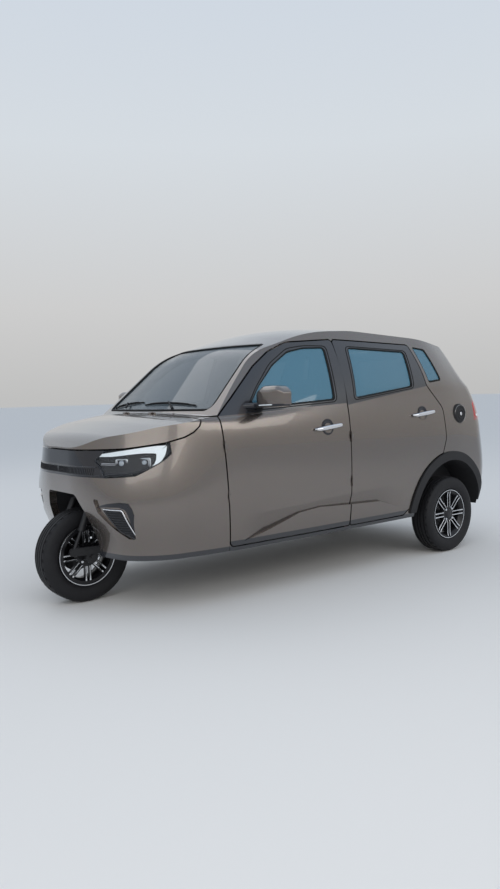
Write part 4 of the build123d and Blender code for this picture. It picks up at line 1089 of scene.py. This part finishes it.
# %% Fuel cap
CAP_PLACE = (-1.181, 0.6985, 0.956)
CAP_TURN = (math.radians(2), 0, math.radians(3))
CAP_OUTLINE = [
    # radius, height out of the skin
    (0, 0.0100), (0.016, 0.0100), (0.0175, 0.0085), (0.022, 0.0085), (0.024, 0.0125), (0.034, 0.0135), (0.037, 0.0115),
    (0.040, 0.0085), (0.046, 0.0085), (0.049, 0.0120), (0.056, 0.0110), (0.062, 0.006), (0.064, 0.001),
    (0.068, 0.000), (0.070, -0.003), (0.070, -0.018), (0, -0.018),
]
LOCK_OUTLINE = [
    (0, 0.0145), (0.004, 0.0145), (0.006, 0.0135), (0.0095, 0.0140), (0.012, 0.0125), (0.0125, 0.0095), (0, 0.0090),
]
RING_RADIUS, RING_OUT = 0.0615, 0.7045
cap_pieces = []
for name, outline, steps, material in (
    ("fuel_cap_dressed", CAP_OUTLINE, 64, trim_black), ("fuel_lock", LOCK_OUTLINE, 32, bright),
):
    turned = lathe(name, outline, steps)
    turned.location = CAP_PLACE
    turned.rotation_euler = CAP_TURN
    cap_pieces.append(tidy(turned, material))
ring = []
for number in range(48):
    angle = math.tau * number / 48
    ring.append((CAP_PLACE[0] + RING_RADIUS * math.cos(angle), RING_OUT, CAP_PLACE[2] + RING_RADIUS * math.sin(angle)))
cap_pieces.append(strip("fuel_ring", ring, 0.003, closed=True, material=bare_steel))
cap = join("fuel_cap_dressed", cap_pieces)
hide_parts("fuel_cap")
seat_on(cap, "body")

# %% Wipers
WIPER_SETS = [
    # blade's ends and the arm's pivot from above: x, y
    ((0.868, 0.430), (0.900, -0.060), (0.928, 0.300)),
    ((0.880, -0.110), (0.868, -0.500), (0.928, -0.250)),
]
GLASS = ("windshield", "top")
wiper_pieces = []
for start, end, pivot in WIPER_SETS:
    middle = tuple((a + b) / 2 for a, b in zip(start, end))
    blade = open_path([start, end])
    wiper_pieces.append(bar_on("wiper_blade", *GLASS, blade, 0.0085, 0.005, material=rubber))
    spine = thrown("windshield", blade, "top", 0.011)[2:-2]
    wiper_pieces.append(strip("wiper_spine", spine, 0.006, material=trim_black))
    wiper_pieces.append(bar_on("wiper_arm", *GLASS, open_path([pivot, middle]), 0.012, 0.015, material=trim_black))
wiper_set = join("wiper_set", wiper_pieces)
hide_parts("wipers")
seat_on(wiper_set, "body")
print("wipers", len(WIPER_SETS))

# %% [markdown]
# ## Rear fittings
#
# A tail lamp is a red lens over ribs, with a light guide that runs round it and a clear field for reversing.
# Below the tailgate's glass lie a grip bar and a blank plate in its holder, and the bumper has two red
# reflectors and a dark lower skirt. All of them are bars and sheets that follow the skin.

# %% Tail lamps
LAMP_RING = [(-0.690, 0.922), (-0.520, 0.922), (-0.520, 1.028), (-0.690, 1.028)]
LAMP_RIBS = [0.958, 0.970, 0.982, 0.994, 1.006]
CLEAR_LOW = [(-0.672, 0.932), (-0.538, 0.932)]
CLEAR_HIGH = [(-0.672, 0.947), (-0.538, 0.947)]
for side, sign in SIDES:
    lamp = ("tail_lamps", side + "_rear")
    guides = [bar_on("guide_ring", *lamp, rounded(LAMP_RING, 0.02), 0.006, closed=True, material=guide_red)]
    for height in LAMP_RIBS:
        rib = [(-0.672 + 0.0134 * k, height) for k in range(11)]
        guides.append(bar_on("guide_rib", *lamp, rib, 0.003, -0.0005, material=guide_red))
    seat_on(join("tail_guides_" + side, guides), "body")
    clear = laid("tail_clear_" + side, *lamp, CLEAR_LOW, CLEAR_HIGH, 0.0008, 0.002, lamp_white)
    seat_on(clear, "body")

# %% Plate, grip bar and reflectors
PLATE_LOW, PLATE_HIGH = [(-0.205, 0.875), (0.205, 0.875)], [(-0.205, 0.985), (0.205, 0.985)]
HOLDER = [(-0.225, 0.862), (0.225, 0.862), (0.225, 0.998), (-0.225, 0.998)]
GATE = ("tailgate", "back")
plate = laid("plate_blank", *GATE, PLATE_LOW, PLATE_HIGH, 0.004, 0.002, blank_plate)
seat_on(plate, "tailgate_lid")
holder = bar_on("plate_holder", *GATE, rounded(HOLDER, 0.02), 0.012, 0.002, closed=True, material=trim_black)
seat_on(holder, "tailgate_lid")
grip = bar_on("grip_bar", *GATE, [(-0.27 + 0.03 * k, 1.030) for k in range(19)], 0.024, 0.006,
              material=gloss_black, end=0.4)
seat_on(grip, "tailgate_lid")
stop = bar_on("stop_lamp", *GATE, [(-0.13 + 0.026 * k, 1.412) for k in range(11)], 0.010, 0.001,
              material=lens_red, end=0.5)
seat_on(stop, "tailgate_lid")
SKIRT_LOW = [(-0.50, 0.308), (0.50, 0.308)]
SKIRT_HIGH = [(-0.50, 0.372), (-0.40, 0.392), (0.40, 0.392), (0.50, 0.372)]
skirt = laid("rear_skirt", "rear_bumper", "back", SKIRT_LOW, SKIRT_HIGH, 0.001, 0.002, trim_black)
seat_on(skirt, "body")
for side, sign in SIDES:
    low, high = ([(sign * 0.40, z), (sign * 0.57, z)] for z in (0.470, 0.492))
    seat_on(laid("reflector_" + side, "rear_bumper", "back", low, high, 0.004, 0.006, lens_red), "body")

# %% [markdown]
# ## Inside
#
# The doors are lined: a dark card covers the inner panel, with an armrest and a bright pull. The dashboard
# has air vents, a dark instrument panel behind the wheel, a screen, three dials and the lid of a glove box.

# %% Door linings
LININGS = [
    # door, upper line, lower line, armrest, pull
    ("front", [(0.790, 0.975), (0.020, 1.010)], [(0.760, 0.400), (0.020, 0.372)],
     [(0.16 + 0.05 * k, 0.700) for k in range(9)], [(0.42 + 0.02 * k, 0.800) for k in range(7)]),
    ("rear", [(-0.110, 1.010), (-0.900, 1.050)], [(-0.110, 0.372), (-0.690, 0.390), (-0.830, 0.640), (-0.900, 0.780)],
     [(-0.72 + 0.05 * k, 0.740) for k in range(9)], [(-0.36 + 0.02 * k, 0.840) for k in range(7)]),
]
for door, upper, lower, arm, pull in LININGS:
    for side, sign in SIDES:
        inner, body = ("door_" + door + "_" + side, "inner_" + side), door + "_" + side + "_door"
        card = laid("lining_" + door + "_" + side, *inner, upper, lower, 0.003, 0.003, dash_skin, rows=14)
        rest = bar_on("armrest", *inner, arm, 0.044, 0.016, material=dash_skin, end=0.5)
        seat_on(join("lining_" + door + "_" + side, [card, rest]), body)
        grip = bar_on("pull_" + door + "_" + side, *inner, pull, 0.012, 0.010, material=bright, end=0.4)
        seat_on(grip, body)

# %% Dashboard
DASH = ("dashboard", "back")
AIR_VENTS = [-0.53, -0.17, 0.15, 0.53]
DIALS = [-0.065, -0.005, 0.055]
DIAL_RADIUS, DIAL_HEIGHT = 0.017, 0.800
PANEL = ((0.205, 0.395), (0.915, 0.972))
SCREEN = ((-0.115, 0.105), (0.925, 0.985))
GLOVE_BOX = [(-0.52, 0.70), (-0.20, 0.70), (-0.20, 0.84), (-0.52, 0.84)]
slats = []
for middle in AIR_VENTS:
    corners = [(middle + a * 0.045, 0.900 + b * 0.024) for a, b in ((-1, -1), (1, -1), (1, 1), (-1, 1))]
    slats.append(bar_on("vent_rim", *DASH, rounded(corners, 0.01), 0.006, 0.002, closed=True, material=bright))
    for height in (0.888, 0.900, 0.912):
        slat = [(middle + 0.008 * k, height) for k in range(-5, 6)]
        slats.append(bar_on("vent_slat", *DASH, slat, 0.004, 0.002, material=gloss_black))
turns = [(DIAL_RADIUS * math.cos(k * math.pi / 12), DIAL_RADIUS * math.sin(k * math.pi / 12)) for k in range(24)]
for middle in DIALS:
    dial = [(middle + y, DIAL_HEIGHT + z) for y, z in turns]
    slats.append(bar_on("dial", *DASH, dial, 0.008, 0.004, closed=True, material=bright))
seat_on(join("dash_vents", slats), "body")
faces = []
for (left, far), (low_z, high_z) in (PANEL, SCREEN):
    low, high = [(left, low_z), (far, low_z)], [(left, high_z), (far, high_z)]
    faces.append(laid("dash_face", *DASH, low, high, 0.005, 0.006, gloss_black))
seat_on(join("dash_faces", faces), "body")
lid = bar_on("glove_box_lid", *DASH, rounded(GLOVE_BOX, 0.02), 0.004, closed=True, material=rubber)
seat_on(lid, "body")

# %% [markdown]
# ## Seats
#
# Each cushion begins as a block with the side outline of its place, a little smaller than the solid that
# it stands for. A short cloth simulation blows it up, so its faces crown and its sides draw in between
# the corners. The sewn channels are pressed in after that, and piping runs along the side seams.

# %% Cushion helpers
upholstery = finish("upholstery", (0.045, 0.043, 0.042), 0.72, variation=0.18, patch=18, grain=1300, depth=0.0012)
CLOTH_STEPS = 20
SEAM_DEPTH = 0.006
piping = finish("piping", (0.16, 0.15, 0.14), 0.6, variation=0.1, patch=40, grain=900, depth=0.0004)


def prism(name, outline, low, high):
    """A closed block: a side outline (x, z) carried across the car from low to high."""
    piece = chain(name, [(x, low, z) for x, z in outline], closed=True)
    bpy.ops.mesh.select_all(action="SELECT")
    bpy.ops.mesh.edge_face_add()
    bpy.ops.mesh.extrude_region_move(TRANSFORM_OT_translate={"value": (0, high - low, 0)})
    bpy.ops.mesh.select_all(action="SELECT")
    bpy.ops.mesh.normals_make_consistent(inside=False)
    object_mode()
    return piece


def hard_block(name, outline, half, material):
    """A rigid part of a seat, its edges eased."""
    piece = prism(name, outline, -half, half)
    fix(piece, "BEVEL", width=0.004, segments=2)
    return tidy(piece, material)


def puffed(piece, voxel, cap):
    """Blows a closed block up into a cushion, no point moving further than the cap."""
    fix(piece, "BEVEL", width=0.014, segments=2)
    fix(piece, "REMESH", mode="VOXEL", voxel_size=voxel)
    start = [vertex.co.copy() for vertex in piece.data.vertices]
    pick(piece)
    cloth = piece.modifiers.new("cloth", "CLOTH")
    cloth.settings.use_pressure = True
    cloth.settings.uniform_pressure_force = 4
    cloth.settings.effector_weights.gravity = 0
    for step in range(1, CLOTH_STEPS + 1):
        scene.frame_set(step)
    bpy.ops.object.modifier_apply(modifier=cloth.name)
    scene.frame_set(1)
    for vertex, place in zip(piece.data.vertices, start):
        shift = vertex.co - place
        if shift.length > cap:
            vertex.co = place + shift * (cap / shift.length)
    fix(piece, "SUBSURF", levels=1, render_levels=1)
    return tidy(piece, upholstery, angle=60)


def pressed(piece, seams, width):
    """Presses sewn lines into a cushion. A seam is an axis and the place on it where the line lies."""
    for vertex in piece.data.vertices:
        nearest = min(abs(vertex.co["xyz".index(axis)] - place) for axis, place in seams)
        vertex.co -= vertex.normal * SEAM_DEPTH * math.exp(-((nearest / width) ** 2))
    return piece


def piped(piece, path):
    """Piping that lies on the cushion's skin along a path."""
    points = []
    for point in path:
        _, place, normal, _ = piece.closest_point_on_mesh(Vector(point))
        points.append(place + normal * 0.001)
    return strip("piping", points, 0.006, closed=True, material=piping)


def cushion(name, outline, half, edge, voxel, cap, seams, width):
    """A cushion as wide as twice its half, with its channels pressed in, and the piping at both edges."""
    body = pressed(puffed(prism(name, outline, -half, half), voxel, cap), seams, width)
    paths = [rounded([(x, y, z) for x, z in outline], 0.02) for y in (-edge, edge)]
    return [body] + [piped(body, path) for path in paths]


# %% Front seats
BASE = [(0.392, 0.505), (0.412, 0.550), (0.388, 0.580), (0.085, 0.560), (0.060, 0.505)]
BACK = [(0.047, 0.590), (-0.052, 1.065), (-0.108, 1.060), (-0.040, 0.590)]
HEAD = [(-0.050, 1.120), (-0.066, 1.212), (-0.124, 1.206), (-0.112, 1.114)]
PLINTH = [(0.395, 0.472), (0.400, 0.505), (-0.020, 0.545), (-0.030, 0.472)]
SHELL = [(-0.040, 0.560), (-0.110, 1.078), (-0.124, 1.076), (-0.052, 0.520)]
SEAT_HALF = 0.218
SEAT_PLACE = 0.300
BASE_SEAMS = [("y", 0.075), ("y", -0.075), ("x", 0.335), ("x", 0.200)]
BACK_SEAMS = [("y", 0.080), ("y", -0.080), ("z", 0.930), ("z", 0.760)]
seat_parts = []
for name, outline, seams in (("seat_base", BASE, BASE_SEAMS), ("seat_back", BACK, BACK_SEAMS)):
    seat_parts += cushion(name, outline, SEAT_HALF - 0.014, SEAT_HALF - 0.012, 0.012, 0.022, seams, 0.007)
seat_parts.append(puffed(prism("head_rest", HEAD, -0.125, 0.125), 0.010, 0.012))
for outline, half in ((PLINTH, 0.185), (SHELL, SEAT_HALF - 0.020)):
    seat_parts.append(hard_block("seat_plinth", outline, half, trim_black))
for post_y in (-0.060, 0.060):
    posts = [Vector((-0.082, post_y, 1.040)), Vector((-0.088, post_y, 1.160))]
    seat_parts.append(strip("head_rest_post", posts, 0.012, material=bright))
one_seat = join("one_seat", seat_parts)
other = copy_of(one_seat)
one_seat.location.y = SEAT_PLACE
other.location.y = -SEAT_PLACE
front_seats = join("front_seats_dressed", [tidy(seat, angle=60) for seat in (one_seat, other)])
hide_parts("front_seats")
seat_on(front_seats, "body")
print("front seats", [round(v, 3) for v in front_seats.dimensions])

# %% Rear bench
BENCH_BASE = [(-0.392, 0.450), (-0.378, 0.520), (-0.405, 0.552), (-0.735, 0.530), (-0.750, 0.470)]
BENCH_BACK = [(-0.762, 0.560), (-0.872, 1.022), (-0.944, 1.022), (-0.872, 0.560)]
BENCH_FOOT = [(-0.392, 0.308), (-0.386, 0.450), (-0.745, 0.470), (-0.745, 0.456), (-0.606, 0.312)]
BASE_SEAMS = [("y", 0.155), ("y", -0.155), ("x", -0.470), ("x", -0.610)]
BACK_SEAMS = [("y", 0.155), ("y", -0.155), ("z", 0.900), ("z", 0.720)]
bench_parts = cushion("bench_base", BENCH_BASE, 0.452, 0.454, 0.015, 0.022, BASE_SEAMS, 0.008)
bench_parts += cushion("bench_back", BENCH_BACK, 0.452, 0.454, 0.015, 0.020, BACK_SEAMS, 0.008)
bench_parts.append(hard_block("bench_foot", BENCH_FOOT, 0.450, carpet))
bench = join("rear_bench_dressed", bench_parts)
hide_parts("rear_bench")
seat_on(bench, "body")
print("rear bench", [round(v, 3) for v in bench.dimensions])
